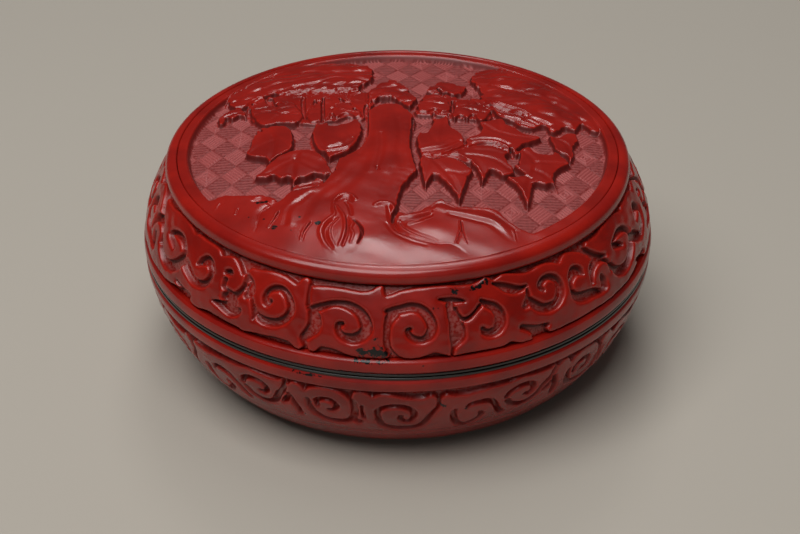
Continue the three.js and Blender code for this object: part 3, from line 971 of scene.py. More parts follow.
@dataclass
class GardenPicture:
    """The picture in the round panel: a tree with big leaves between two rocks, over a diaper ground."""

    reach: float = 44.5
    cells: int = 700
    lozenge_wide: float = 5.3
    lozenge_tall: float = 7.2
    level_pitch: float = 0.95
    slanted_pitch: float = 0.66
    hatch_depth: float = 0.24
    border_foot: float = 40.9
    border_top: float = 42.1
    border_level: float = 1.3
    rim_start: float = 42.0
    rim_full: float = 43.6
    brow_start: float = 33.0
    brow_full: float = 43.8
    far_start: float = 10.0
    far_full: float = 22.0

    def carve(self) -> tuple[Relief, np.ndarray]:
        """Carve the whole picture.

        Returns:
            The relief, with the ground at zero, and how dark the ground is painted, from 0 to 1, along its
            hatch lines and in lozenges painted darker or lighter for sheen.
        """
        relief = Relief(-self.reach, self.reach, -self.reach, self.reach, self.cells, self.cells)
        for shape in (*FAR_ROCKS, *UPPER_LEAVES, *BANKS, *TREE_AND_GOURD, *LOWER_LEAVES):
            relief.plateau(Motif(*shape))
        for mark in self.marks():
            relief.mark(mark)
        x, y = np.meshgrid(relief.x, relief.y)
        away = np.hypot(x, y)
        border = self.border_level * smooth_step(self.border_foot, self.border_top, away)
        relief.ground *= smooth_step(self.border_foot + 0.7, self.border_foot + 0.1, away)
        relief.height = np.maximum(relief.height, border)
        near = smooth_step(self.brow_start, self.brow_full, away) * (1 - relief.ground)
        brow = np.maximum(smooth_step(self.rim_start, self.rim_full, away), near * smooth_step(0, -20, y))
        relief.height += (self.border_level - relief.height) * brow
        relief.height = blurred(relief.height, 1, False)
        far = smooth_step(self.far_start, self.far_full, y + 0.25 * np.abs(x))
        far *= smooth_step(self.border_foot - 0.2, self.border_foot - 2.4, away)
        lumps = np.minimum(np.abs(ripple(0.6 * x, y, 4.4, 24)), 0.9) - 0.5
        swell = 0.03 * ripple(x, y, 7.0, 21) + far * (0.04 * ripple(x, y, 5.0, 22) + 0.2 * lumps)
        relief.height += swell * (1 - relief.ground)
        hatch, depth = self.diaper(relief)
        relief.height -= depth * relief.ground * smooth_step(0.5, 0.25, relief.height)
        return relief, hatch

    def diaper(self, relief: Relief) -> tuple[np.ndarray, np.ndarray]:
        """Draw the lozenge diaper that fills the ground.

        Args:
            relief: the relief to draw it for.

        Returns:
            How dark each place is painted, from 0 to 1: darker along the cut lines, with whole lozenges
            painted darker or lighter in place of sheen; and how deep the lines are.
        """
        x, y = np.meshgrid(relief.x, relief.y)
        x = x + 0.1 * ripple(x, y, 12.0, 5)
        y = y + 0.1 * ripple(x, y, 10.0, 6)
        a = x / self.lozenge_wide + y / self.lozenge_tall
        b = x / self.lozenge_wide - y / self.lozenge_tall
        row, column = np.floor(a), np.floor(b)
        level = (row + column) % 2 == 0
        nested = ~level & (row % 3 == 0)
        width = 1 / math.hypot(1 / self.lozenge_wide, 1 / self.lozenge_tall)
        across_edge = np.minimum(np.abs(a - np.round(a)), np.abs(b - np.round(b))) * width
        slanted = np.where(row % 2 == 0, a, b) * width
        lines = np.where(level, y / self.level_pitch, slanted / self.slanted_pitch)
        lines = np.where(nested, across_edge / self.slanted_pitch + 0.3, lines)
        wave = 0.5 + 0.5 * np.cos(lines * TAU)
        cut_line = np.where(level, smooth_step(0.15, 0.6, wave), smooth_step(0.45, 0.9, wave))
        hatch = np.maximum(cut_line, smooth_step(0.3, 0.14, across_edge))
        # Painted sheen: the level lozenges are painted darker all over and the slanted ones lighter, in place
        # of the sheen that changes with the direction of their lines; each lozenge is darker along its cut
        # lines.
        line_and_sheen_tone = np.where(level, 0.72 + 0.28 * hatch, 0.6 * hatch)
        return line_and_sheen_tone, np.where(level, 0.45, 1.0) * self.hatch_depth * hatch

    def marks(self) -> Iterator[Mark]:
        """The ridges, creases and slots, in the order that they are cut."""
        # Each table, with the share of its rises and how much wider its flanks are cut.
        for table, rise, flank in ((SLOTS, 1.0, 1.0), (BARK, 0.38, 1.7), (LEAF_FOLDS, 0.42, 1.7),
                                   (BANK_FOLDS, 0.34, 1.8), (FAR_FOLDS, 0.45, 1.3)):
            for mark in (Mark(*entry) for entry in table):
                yield replace(mark, rise=mark.rise * rise, flank=mark.flank * flank)
        for blade in GRASS:
            yield Mark([(x + 0.36, y - 0.1, width) for x, y, width in blade], -0.2, 0.22)
            yield Mark(blade, 0.34, 0.22)
        for entry in (*GOURD_FOLDS, *CRISP_FOLDS):
            yield Mark(*entry)
        for stroke in LEAF_GAPS:
            yield Mark(stroke, flank=0.3, floor=0.15)


def disc_grid(cells: int) -> tuple[np.ndarray, np.ndarray]:
    """Bend a square grid onto a round disc, with cells of one size.

    Args:
        cells: how many cells the grid has along a side.

    Returns:
        Places across and along each grid point, on a disc of radius 1.
    """
    side = np.linspace(-1, 1, cells + 1)
    a, b = np.meshgrid(side, side)
    wide = np.abs(a) >= np.abs(b)
    reach, other = np.where(wide, a, b), np.where(wide, b, a)
    angle = math.pi / 4 * other / np.where(reach == 0, 1, reach)
    near, far = reach * np.cos(angle), reach * np.sin(angle)
    return np.where(wide, near, far), np.where(wide, far, near)


def square_edge(numbers: np.ndarray) -> np.ndarray:
    """The numbers along the edge of a square grid, once round, seen from above."""
    return np.concatenate([numbers[0, :-1], numbers[:-1, -1], numbers[-1, :0:-1], numbers[:0:-1, 0]])


@dataclass
class PicturePanel:
    """The round picture panel in the top of the lid."""

    ground_depth: float = 1.35
    cells: int = 560
    map_share: float = 0.9
    cavity_reach: float = 0.9
    shadow_reach: float = 0.45
    dots: Sequence[tuple[float, float, float]] = (
        (-22.6, -31.8, 0.5), (-14.6, -31.3, 0.48), (-26.2, -23.4, 0.4), (-25.4, -23.2, 0.45),
        (-24.7, -23, 0.3), (-24.6, -29, 0.22), (-18.1, -29.2, 0.2), (-19.4, -33, 0.2), (-27.5, -28, 0.15))

    def build(self, finish: bpy.types.Material) -> None:
        """Make the carved panel of its material and seat it in the lid."""
        relief, hatch = GardenPicture().carve()
        unit_x, unit_y = disc_grid(self.cells)
        radius = SHAPE.panel_radius
        x, y = unit_x * radius, unit_y * radius
        height = relief.sample(relief.height, x, y)
        top = SHAPE.crown(np.hypot(x, y)) - self.ground_depth + height
        sheet = MeshSheet()
        level = SHAPE.seam_level
        numbers = sheet.add_points(np.stack([x, y, top + level], -1) * MM)
        flat = np.linspace(0, self.map_share, self.cells + 1)
        sheet.add_grid(numbers, flat, flat)
        rim = square_edge(numbers)
        direction = np.stack([square_edge(unit_x), square_edge(unit_y)], -1)
        shares = np.array([0.15, 0.4, 0.6, 0.8, 1.0])
        reach = shares[:, None] * radius
        back = SHAPE.crown(reach, SHAPE.coat) + level
        under = np.stack([reach * direction[:, 0], reach * direction[:, 1],
                          np.broadcast_to(back, (len(shares), len(direction)))], -1)
        rings = np.vstack([sheet.add_points(under * MM), rim[None, :]])
        along = np.linspace(0, 1, len(rings))
        sheet.add_rings(rings, along, 4, self.map_share + 0.01, 0.98)
        centre = (SHAPE.crown(0.0, SHAPE.coat) + level) * MM
        tip = sheet.add_points(np.array([[0.0, 0.0, centre]]))
        sheet.add_tip(int(tip[0]), rings[0], False, 0.985, 0.995)
        piece = sheet.build("picture_panel_carved")
        count = len(piece.data.vertices)
        # Painted shadow: ground just in front of a raised edge, under its overhang, gets the dark cut-wall
        # colour through the same field as the walls.
        shadow = smooth_step(0.5, 1.1, relief.overhang(self.shadow_reach, 1))
        cut_walls_and_shade = np.maximum(relief.steepness() * (1 - relief.ground), shadow)
        for name, values in (("depth", self.ground_depth - relief.height),
                             ("cavity", relief.cavity(self.cavity_reach)),
                             ("wall_and_shade", cut_walls_and_shade), ("ground", relief.ground), ("hatch", hatch)):
            whole = np.zeros(count)
            whole[: numbers.size] = relief.sample(values, x, y).ravel()
            set_field(piece, name, whole)
        worn = np.zeros(count)
        for dot_x, dot_y, size in self.dots:
            near = 2 - 2 * np.hypot(x - dot_x, y - dot_y).ravel() / (WEAR_REACH * size)
            np.maximum(worn[: numbers.size], near, out=worn[: numbers.size])
        set_field(piece, "worn", np.minimum(worn, 1))
        settle(piece, finish, Body.LID, "lid_picture_panel")


@dataclass
class CarvedBand:
    """A band of carved scrolls round a wall."""

    name: str
    node: str
    wall: WallArc
    body: Body
    start: float
    end: float
    columns: int = 1680
    rows: int = 88
    floor: float = -1.3
    wall_width: float = 0.2
    rounding: float = 0.75
    rounding_drop: float = 0.3
    cavity_reach: float = 0.9
    shadow_reach: float = 0.8
    repeats: int = 3
    middle_radius: float = 50.0
    back_rows: int = 4
    grooves: Sequence[Stroke] = ()
    near_contour: Sequence[Point] = ()
    far_contour: Sequence[Point] = ()
    chips: Sequence[Chip] = ()

    def flat(self, points: Sequence[Sequence[float]], turn: float) -> list[tuple[float, ...]]:
        """Lay points given in degrees out flat, in mm, turned by some degrees."""
        scale = TAU * self.middle_radius / 360
        return [((p[0] + turn) * scale, *p[1:]) for p in points]

    def carve(self) -> Relief:
        """Carve the band's scrolls.

        Returns:
            The relief, with the rubbed tops at zero.
        """
        half = math.pi * self.middle_radius
        relief = Relief(-half, half, self.start, self.end, self.columns, self.rows, wraps=True)
        x, y = np.meshgrid(relief.x, relief.y)
        relief.height += 0.05 * ripple(x, y, 6.0, 11)
        turns = [repeat * 360 / self.repeats for repeat in range(self.repeats)]
        for turn in turns:
            for stroke in self.grooves:
                relief.gouge(self.flat(stroke, turn), self.rounding)
        for contour, side in ((self.near_contour, Side.BELOW), (self.far_contour, Side.ABOVE)):
            if contour:
                whole = [point for turn in turns for point in self.flat(contour, turn)]
                whole.append((whole[0][0] + 2 * half, whole[0][1]))
                relief.trim(whole, side, 2.0)
        relief.sink(self.floor, self.wall_width, self.rounding, self.rounding_drop)
        relief.height += 0.025 * ripple(x, y, 2.2, 12)
        return relief

    def build(self, finish: bpy.types.Material) -> None:
        """Make the carved band of its material and seat it on its body."""
        relief = self.carve()
        degrees = np.degrees(relief.x / self.middle_radius)
        order = np.argsort((degrees + 360) % 360)
        height = relief.height[:, order]
        front = self.wall.at(np.broadcast_to(relief.y[:, None], height.shape), -height)
        runs = np.linspace(self.end, self.start, self.back_rows)
        blank = np.zeros((self.back_rows, self.columns))
        back = self.wall.at(runs[:, None] + blank, SHAPE.coat)
        profile = np.concatenate([front, back])
        rises = self.wall.end[1] > self.wall.start[1]
        layers = np.concatenate([height, blank - SHAPE.coat])
        # Painted shade: cells under an overhanging edge above them are darkened, through the cavity field,
        # weakened where nothing overhangs, and through the field of cut walls.
        under = smooth_step(0.3, 1.0, relief.overhang(self.shadow_reach, 1 if rises else -1))
        hollow = relief.cavity(self.cavity_reach)
        hollow = np.where(hollow > 0, hollow * (0.35 + 0.65 * under), hollow)
        cut_walls_and_shade = np.maximum(0.35 * relief.steepness(), under)
        cavity, wall_and_shade = (np.concatenate([part[:, order], blank]) for part in (hollow, cut_walls_and_shade))
        if not rises:
            profile, layers, cavity, wall_and_shade = (part[::-1] for part in (profile, layers, cavity, wall_and_shade))
        sheet = MeshSheet()
        numbers = sheet.add_points(turn_points(profile, self.columns))
        rings = np.vstack([numbers, numbers[:1]])
        middle = profile.mean(axis=1)
        steps = np.linalg.norm(np.diff(np.vstack([middle, middle[:1]]), axis=0), axis=1)
        along = np.concatenate([[0.0], np.cumsum(steps)]) / steps.sum()
        sheet.add_rings(rings, along, 6)
        piece = sheet.build(self.name)
        set_field(piece, "depth", -layers)
        set_field(piece, "cavity", cavity)
        set_field(piece, "wall_and_shade", wall_and_shade)
        set_wear(piece, self.wall, self.chips)
        settle(piece, finish, self.body, self.node)


LID_CHIPS = (Chip(-8.6, 3.65, 0.55, 6.4), Chip(-7.2, 5.2, 0.9, 1.2), Chip(-5.2, 5.3, 1.1, 1.2),
             Chip(-3.8, 4.8, 1.2, 1.2), Chip(-4.4, 8.0, 0.4), Chip(11.9, 15.9, 0.6, 0.6),
             Chip(16.4, 16.2, 0.5, 1.4), Chip(19.0, 16.7, 0.6, 0.8), Chip(7.4, 13.3, 0.3),
             Chip(8.3, 13.3, 0.3), Chip(4.9, 2.5, 0.35), Chip(-12.0, 1.0, 0.25, 9.0),
             Chip(30.0, 0.9, 0.3, 5.0), Chip(-46.0, 1.0, 0.3, 4.0))
BASE_CHIPS = (Chip(8.9, 7.9, 0.55, 0.6), Chip(14.5, 10.2, 0.4), Chip(7.0, 11.3, 0.4),
              Chip(-22.0, 1.0, 0.3, 6.0))


@dataclass
class RimMoulding:
    """A plain rounded moulding of red lacquer next to the seam."""

    name: str
    node: str
    wall: WallArc
    body: Body
    reach: float
    chips: Sequence[Chip]
    swell: float = 0.12
    edge_drop: float = 0.35
    columns: int = 720

    def build(self, finish: bpy.types.Material) -> None:
        """Turn the moulding, wear it and seat it on its body."""
        start = SHAPE.edge_face + SHAPE.glue
        runs = np.linspace(0, 1, 17)
        edges = smooth_step(0.18, 0.0, runs) + smooth_step(0.8, 1.0, runs)
        lift = self.swell * np.sin(runs * math.pi) - self.edge_drop * edges
        front = self.wall.at(start + runs * (self.reach - start), -lift)
        back = self.wall.at(np.array([self.reach, start]), SHAPE.coat)
        piece = turned_piece(self.name, np.vstack([front, back]), self.columns)
        set_wear(piece, self.wall, self.chips)
        settle(piece, finish, self.body, self.node)


@dataclass
class SeamEdge:
    """A thin black ring that faces the seam, with rounded edges."""

    name: str
    node: str
    body: Body
    inside: float
    low: float
    high: float
    edge_round: float = 0.16
    columns: int = 720

    def build(self, finish: bpy.types.Material) -> None:
        """Turn the ring and seat it on its body."""
        corners = [(self.inside, self.low), (SHAPE.edge_radius, self.low),
                   (SHAPE.edge_radius, self.high), (self.inside, self.high)]
        piece = turned_piece(self.name, rounded(corners, self.edge_round), self.columns)
        settle(piece, finish, self.body, self.node)


@dataclass
class BoxLid:
    """The lid: a wooden shell under carved coats, with a bead round its picture and a black lining."""

    rim_top: float = 3.7
    scroll_start: float = 3.8
    columns: int = 720
    lining_columns: int = 240

    def build(self) -> None:
        """Build and dress every piece of the lid."""
        red, band = RED.build(), BAND_RED.build()
        PicturePanel().build(PICTURE_RED.build())
        self.bead(band)
        self.scrolls().build(red)
        RimMoulding("lid_rim_moulding", "lid_rim_band", SHAPE.lid_wall, Body.LID, self.rim_top,
                    LID_CHIPS).build(band)
        black = BLACK.build()
        SeamEdge("lid_edge_black", "lid_seam_edge", Body.LID, SHAPE.bore, SHAPE.half_gap,
                 SHAPE.edge_face).build(black)
        self.lining(black)

    def bead(self, finish: bpy.types.Material) -> None:
        """The rounded ring between the picture and the scrolls."""
        inside = SHAPE.panel_radius + SHAPE.glue
        outside = SHAPE.groove_radius - SHAPE.glue
        top, foot = SHAPE.panel_edge, SHAPE.groove_height + SHAPE.glue
        t = np.linspace(0, 1, 17)[:, None]
        start, near, far, end = np.array([[inside + 0.2, top + 0.05], [outside - 0.7, top - 0.03],
                                          [outside + 0.55, top - 0.55], [outside, foot]])
        round_top = (1 - t) ** 3 * start + 3 * t * (1 - t) ** 2 * near + 3 * t**2 * (1 - t) * far + t**3 * end
        inner = np.array([[inside, top - 0.25], [inside + 0.05, top - 0.06]])
        root = SHAPE.lid_wall.at(SHAPE.lid_wall.length, SHAPE.coat)
        shoulder = root[1] + SHAPE.glue
        profile = np.vstack([inner, round_top, [[root[0] - SHAPE.glue, shoulder], [inside, shoulder]]])
        piece = turned_piece("bead_moulding", profile, self.columns)
        settle(piece, finish, Body.LID, "lid_bead")

    def scrolls(self) -> CarvedBand:
        """The band of scrolls round the wall of the lid."""
        return CarvedBand("lid_scrolls_carved", "lid_scroll_band", SHAPE.lid_wall, Body.LID,
                          self.scroll_start, SHAPE.lid_wall.length, grooves=LID_GROOVES,
                          near_contour=LID_LOWER_CONTOUR, far_contour=LID_UPPER_CONTOUR, chips=LID_CHIPS)

    def lining(self, finish: bpy.types.Material) -> None:
        """The black lacquer inside the lid: a bore over the lip, a step, then the dome."""
        depth = SHAPE.coat + SHAPE.glue + SHAPE.core_top + SHAPE.glue
        faces = []
        for inset, lower, grow in ((SHAPE.core_back + SHAPE.lining, depth + SHAPE.lining, 0.0),
                                   (SHAPE.core_back, depth, SHAPE.lining)):
            bore, step = SHAPE.bore + grow, SHAPE.rebate + grow
            roof = SHAPE.crown(SHAPE.panel_radius, lower)
            heights = np.linspace(step, roof - SHAPE.fillet, 8)
            wall = np.array([wall_point(SHAPE.lid_wall, h, inset) for h in heights])
            edge_radius = wall_point(SHAPE.lid_wall, roof, inset)[0]
            flat = edge_radius - SHAPE.fillet
            corner = np.array([edge_radius, SHAPE.crown(edge_radius, lower)])
            end = np.array([flat, SHAPE.crown(flat, lower)])
            turn = bend(wall[-1], corner, end, np.linspace(0, 1, 9)[1:-1])
            radii = np.linspace(flat, 0, 13)
            dome = np.stack([radii, SHAPE.crown(radii, lower)], -1)
            foot = [[bore, SHAPE.edge_face + SHAPE.glue], [bore, step]]
            faces.append(np.vstack([foot, wall, turn, dome]))
        profile = np.vstack([faces[0], faces[1][::-1]])
        piece = turned_piece("lid_lining_black", profile, self.lining_columns)
        settle(piece, finish, Body.LID, "lid_lining")


def wall_point(wall: WallArc, height: float, inset: float) -> tuple[float, float]:
    """The point of a wall, moved in by an inset, at a height."""
    rise = height - wall.centre[1]
    reach = wall.radius - inset
    return wall.centre[0] + math.sqrt(reach**2 - rise**2), height


@dataclass
class BoxBase:
    """The base: a turned bowl under carved coats, with a lip for the lid and a black foot."""

    rim_end: float = 3.75
    scroll_start: float = 3.85
    scroll_end: float = 17.1
    turn_in: float = 2.2
    under_coat: float = 0.6
    lip_rounds: Sequence[float] = (0.0, 0.0, 0.5, 0.35)
    foot_rounds: Sequence[float] = (0.35, 0.35, 0.0, 0.0)
    columns: int = 720
    ring_columns: int = 360
    lining_columns: int = 240

    def build(self) -> None:
        """Build and dress every piece of the base."""
        red, band, black = RED.build(), BAND_RED.build(), BLACK.build()
        self.lip(black)
        SeamEdge("base_edge_black", "base_seam_edge", Body.BASE, SHAPE.lip_outer + SHAPE.glue,
                 -SHAPE.edge_face, -SHAPE.half_gap).build(black)
        RimMoulding("base_rim_moulding", "base_rim_band", SHAPE.base_wall, Body.BASE, self.rim_end,
                    BASE_CHIPS).build(band)
        self.scrolls().build(red)
        self.lower_band(red)
        self.lining(black)
        self.foot(black)
        self.underside(black)

    def lip(self, finish: bpy.types.Material) -> None:
        """The thin lip that the lid slides over."""
        inside = SHAPE.lip_outer - SHAPE.lip_width
        corners = [(inside, -SHAPE.lip_root), (SHAPE.lip_outer, -SHAPE.lip_root),
                   (SHAPE.lip_outer, SHAPE.lip_rise), (inside, SHAPE.lip_rise)]
        piece = turned_piece("inner_lip_black", rounded(corners, self.lip_rounds), self.ring_columns)
        settle(piece, finish, Body.BASE, "inner_lip")

    def scrolls(self) -> CarvedBand:
        """The band of scrolls round the wall of the base."""
        return CarvedBand("base_scrolls_carved", "base_scroll_band", SHAPE.base_wall, Body.BASE,
                          self.scroll_start, self.scroll_end, rows=76, repeats=6, middle_radius=49.5,
                          grooves=BASE_GROOVES, near_contour=BASE_CONTOUR, chips=BASE_CHIPS)

    def lower_band(self, finish: bpy.types.Material) -> None:
        """The plain red coat under the scrolls, turned in under the base."""
        wall = SHAPE.base_wall
        runs = np.linspace(self.scroll_end + SHAPE.glue, wall.length, 9)
        side = wall.at(runs, 0.15 * smooth_step(0.12, 0.0, np.linspace(0, 1, 9)))
        flat = np.array([SHAPE.turn_radius - self.turn_in, -SHAPE.underside])
        corner = np.array([SHAPE.turn_radius - self.turn_in / 3, -SHAPE.underside])
        turn = bend(side[-1], corner, flat, np.linspace(0, 1, 7)[1:])
        inside, shelf = SHAPE.foot_radius + SHAPE.glue, -SHAPE.underside + SHAPE.coat
        heights = np.linspace(shelf, wall.at(runs[0], SHAPE.coat)[1], 5)
        back = np.array([wall_point(wall, h, SHAPE.coat) for h in heights])
        profile = np.vstack([side, turn, [[inside, -SHAPE.underside], [inside, shelf]], back])
        piece = turned_piece("base_lower_coat", profile, self.columns)
        settle(piece, finish, Body.BASE, "base_lower_band")

    def lining(self, finish: bpy.types.Material) -> None:
        """The black lacquer inside the bowl."""
        top = -SHAPE.lip_root - 2 * SHAPE.glue
        core_floor = SHAPE.core_back - SHAPE.underside
        faces = []
        for inner, floor in ((SHAPE.core_back + SHAPE.lining, core_floor + SHAPE.lining),
                             (SHAPE.core_back, core_floor)):
            wall_end = floor + SHAPE.fillet
            wall = np.array([wall_point(SHAPE.base_wall, h, inner) for h in np.linspace(top, wall_end, 9)])
            corner = np.array([wall_point(SHAPE.base_wall, floor, inner)[0], floor])
            end = np.array([wall[-1][0] - SHAPE.fillet, floor])
            turn = bend(wall[-1], corner, end, np.linspace(0, 1, 9)[1:])
            radii = np.linspace(end[0], 0, 7)[1:]
            faces.append(np.vstack([wall, turn, np.stack([radii, np.full(6, floor)], -1)]))
        profile = np.vstack([faces[0], faces[1][::-1]])
        piece = turned_piece("base_lining_black", profile, self.lining_columns)
        settle(piece, finish, Body.BASE, "base_lining")

    def foot(self, finish: bpy.types.Material) -> None:
        """The low ring that the box stands on."""
        inside, top = SHAPE.foot_radius - SHAPE.foot_width, -SHAPE.underside + SHAPE.coat
        corners = [(inside, -SHAPE.seam_level), (SHAPE.foot_radius, -SHAPE.seam_level),
                   (SHAPE.foot_radius, top), (inside, top)]
        piece = turned_piece("foot_ring_black", rounded(corners, self.foot_rounds), self.ring_columns)
        settle(piece, finish, Body.BASE, "foot_ring")

    def underside(self, finish: bpy.types.Material) -> None:
        """The black coat under the base, inside the foot."""
        edge = SHAPE.foot_radius - SHAPE.foot_width - SHAPE.glue
        top = -SHAPE.underside + SHAPE.coat
        radii = np.linspace(0, edge, 9)
        upper = np.stack([radii, np.full(9, top)], -1)
        lower = np.stack([radii[::-1], np.full(9, top - self.under_coat)], -1)
        piece = turned_piece("underside_coat_black", np.vstack([upper, lower]), self.lining_columns)
        settle(piece, finish, Body.BASE, "underside_coat")


@dataclass
class Studio:
    """A plain pale floor, soft lamps and the camera."""

    floor_size: float = 6.0
    floor_colour: str = "#AAA398"
    world_light: float = 0.05
    world_seen: float = 0.8
    lamps: Sequence[tuple[str, Sequence[float], Point, float]] = (
        ("strip_behind", (0.01, 0.46, 0.67), (0.2, 0.07), 0.62),
        ("softbox_behind", (0.02, 0.25, 0.79), (0.3, 0.46), 0.95),
        ("softbox_high", (-0.18, -0.28, 0.84), (0.7, 0.6), 7.3),
        ("fill_low_front", (-0.12, -0.9, 0.42), (1.1, 0.6), 0.45))
    lamp_aim: Sequence[float] = (0.0, 0.0, 0.03)
    lens_mm: float = 72.0
    eye: Sequence[float] = (0.0, -0.281205, 0.196656)
    ahead: Sequence[float] = (0.00134, 0.83988, -0.54278)
    overhead: Sequence[float] = (0.00212, 0.54277, 0.83988)

    def build(self) -> None:
        """Set up the floor, the light and the view."""
        self.floor()
        self.world()
        for name, place, size, watts in self.lamps:
            self.lamp(name, Vector(place), size, watts)
        self.camera()
        bpy.context.scene.view_settings.view_transform = "Standard"

    def floor(self) -> None:
        """A pale matt floor."""
        sheet = MeshSheet()
        half = self.floor_size / 2
        side = np.linspace(-half, half, 9)
        x, y = np.meshgrid(side, side)
        numbers = sheet.add_points(np.stack([x, y, np.zeros_like(x)], -1))
        flat = np.linspace(0, 1, 9)
        sheet.add_grid(numbers, flat, flat)
        floor = sheet.build("studio_floor")
        material, tree = new_tree("matt_pale_board")
        shader = add_node(tree, "BsdfPrincipled", {"Base Color": linear(self.floor_colour),
                                                   "Roughness": 0.9})
        add_node(tree, "OutputMaterial", {"Surface": shader.outputs["BSDF"]})
        floor.data.materials.append(material)

    def world(self) -> None:
        """Even pale light from all round."""
        world = bpy.data.worlds.new("studio_air")
        world.use_nodes = True
        tree = world.node_tree
        tree.nodes.clear()
        seen = add_node(tree, "LightPath").outputs["Is Camera Ray"]
        strength = add_node(tree, "MapRange", {"Value": seen, "To Min": self.world_light,
                                               "To Max": self.world_seen})
        air = add_node(tree, "Background", {"Color": (1.0, 1.0, 1.0, 1.0),
                                            "Strength": strength.outputs["Result"]})
        add_node(tree, "OutputWorld", {"Surface": air.outputs["Background"]})
        bpy.context.scene.world = world

    def lamp(self, name: str, place: Vector, size: Point, watts: float) -> None:
        """Hang a softbox that faces the box.

        Args:
            name: the lamp's name.
            place: where it hangs, in metres.
            size: its width and height, in metres.
            watts: its power.
        """
        light = bpy.data.lights.new(name, "AREA")
        light.shape = "RECTANGLE"
        light.size, light.size_y = size
        light.energy = watts
        lamp = bpy.data.objects.new(name, light)
        lamp.location = place
        aim = Vector(self.lamp_aim) - place
        lamp.rotation_euler = aim.to_track_quat("-Z", "Y").to_euler()
        bpy.context.scene.collection.objects.link(lamp)

    def camera(self) -> None:
        """The camera, fitted to the rings of the box."""
        lens = bpy.data.cameras.new("camera")
        lens.lens, lens.sensor_width = self.lens_mm, 36.0
        lens.clip_start, lens.clip_end = 0.01, 20.0
        forward = Vector(self.ahead).normalized()
        right = forward.cross(Vector(self.overhead)).normalized()
        up = right.cross(forward)
        camera = bpy.data.objects.new("camera", lens)
        turn = Matrix((right, up, -forward)).transposed().to_4x4()
        camera.matrix_world = Matrix.Translation(Vector(self.eye)) @ turn
        bpy.context.scene.collection.objects.link(camera)
        bpy.context.scene.camera = camera


# Raised shapes of the picture, from the back to the front, each as an outline in mm with its level and
# dome, and with its edge, moat and falloff where they aren't the usual ones.
FAR_ROCKS = (
    ([(-33.6, 16), (-36.4, 20), (-34.6, 24), (-32.4, 27), (-30.6, 31), (-27, 34.4), (-22, 37), (-16, 38.2),
      (-10, 37.6), (-5.6, 35), (-5, 31), (-5.8, 27), (-7.6, 24.4), (-8, 20.4), (-8.6, 17.6), (-11, 16),
      (-13.4, 17), (-14.8, 19.8), (-16, 18), (-18, 19.5), (-20, 21), (-22.5, 19.7), (-24.6, 21), (-26.6, 22),
      (-28, 20), (-30.4, 17.2), (-32, 16)], 1, 0.4),
    ([(17, 17.4), (17.4, 22), (16.2, 26), (15.4, 29), (16.8, 32.4), (20, 35), (25, 34.6), (32, 30),
      (36, 25.2), (39, 19), (41, 12.4), (41.4, 6.4), (39.2, 6.2), (37.6, 8.6), (36, 5.6), (34, 7),
      (32.6, 4.8), (30.8, 4.2), (29.6, 6.8), (27.2, 5.4), (24.6, 6.2), (23, 8.4), (21, 9.6), (19.2, 12.6),
      (18, 15)], 1, 0.4),
)
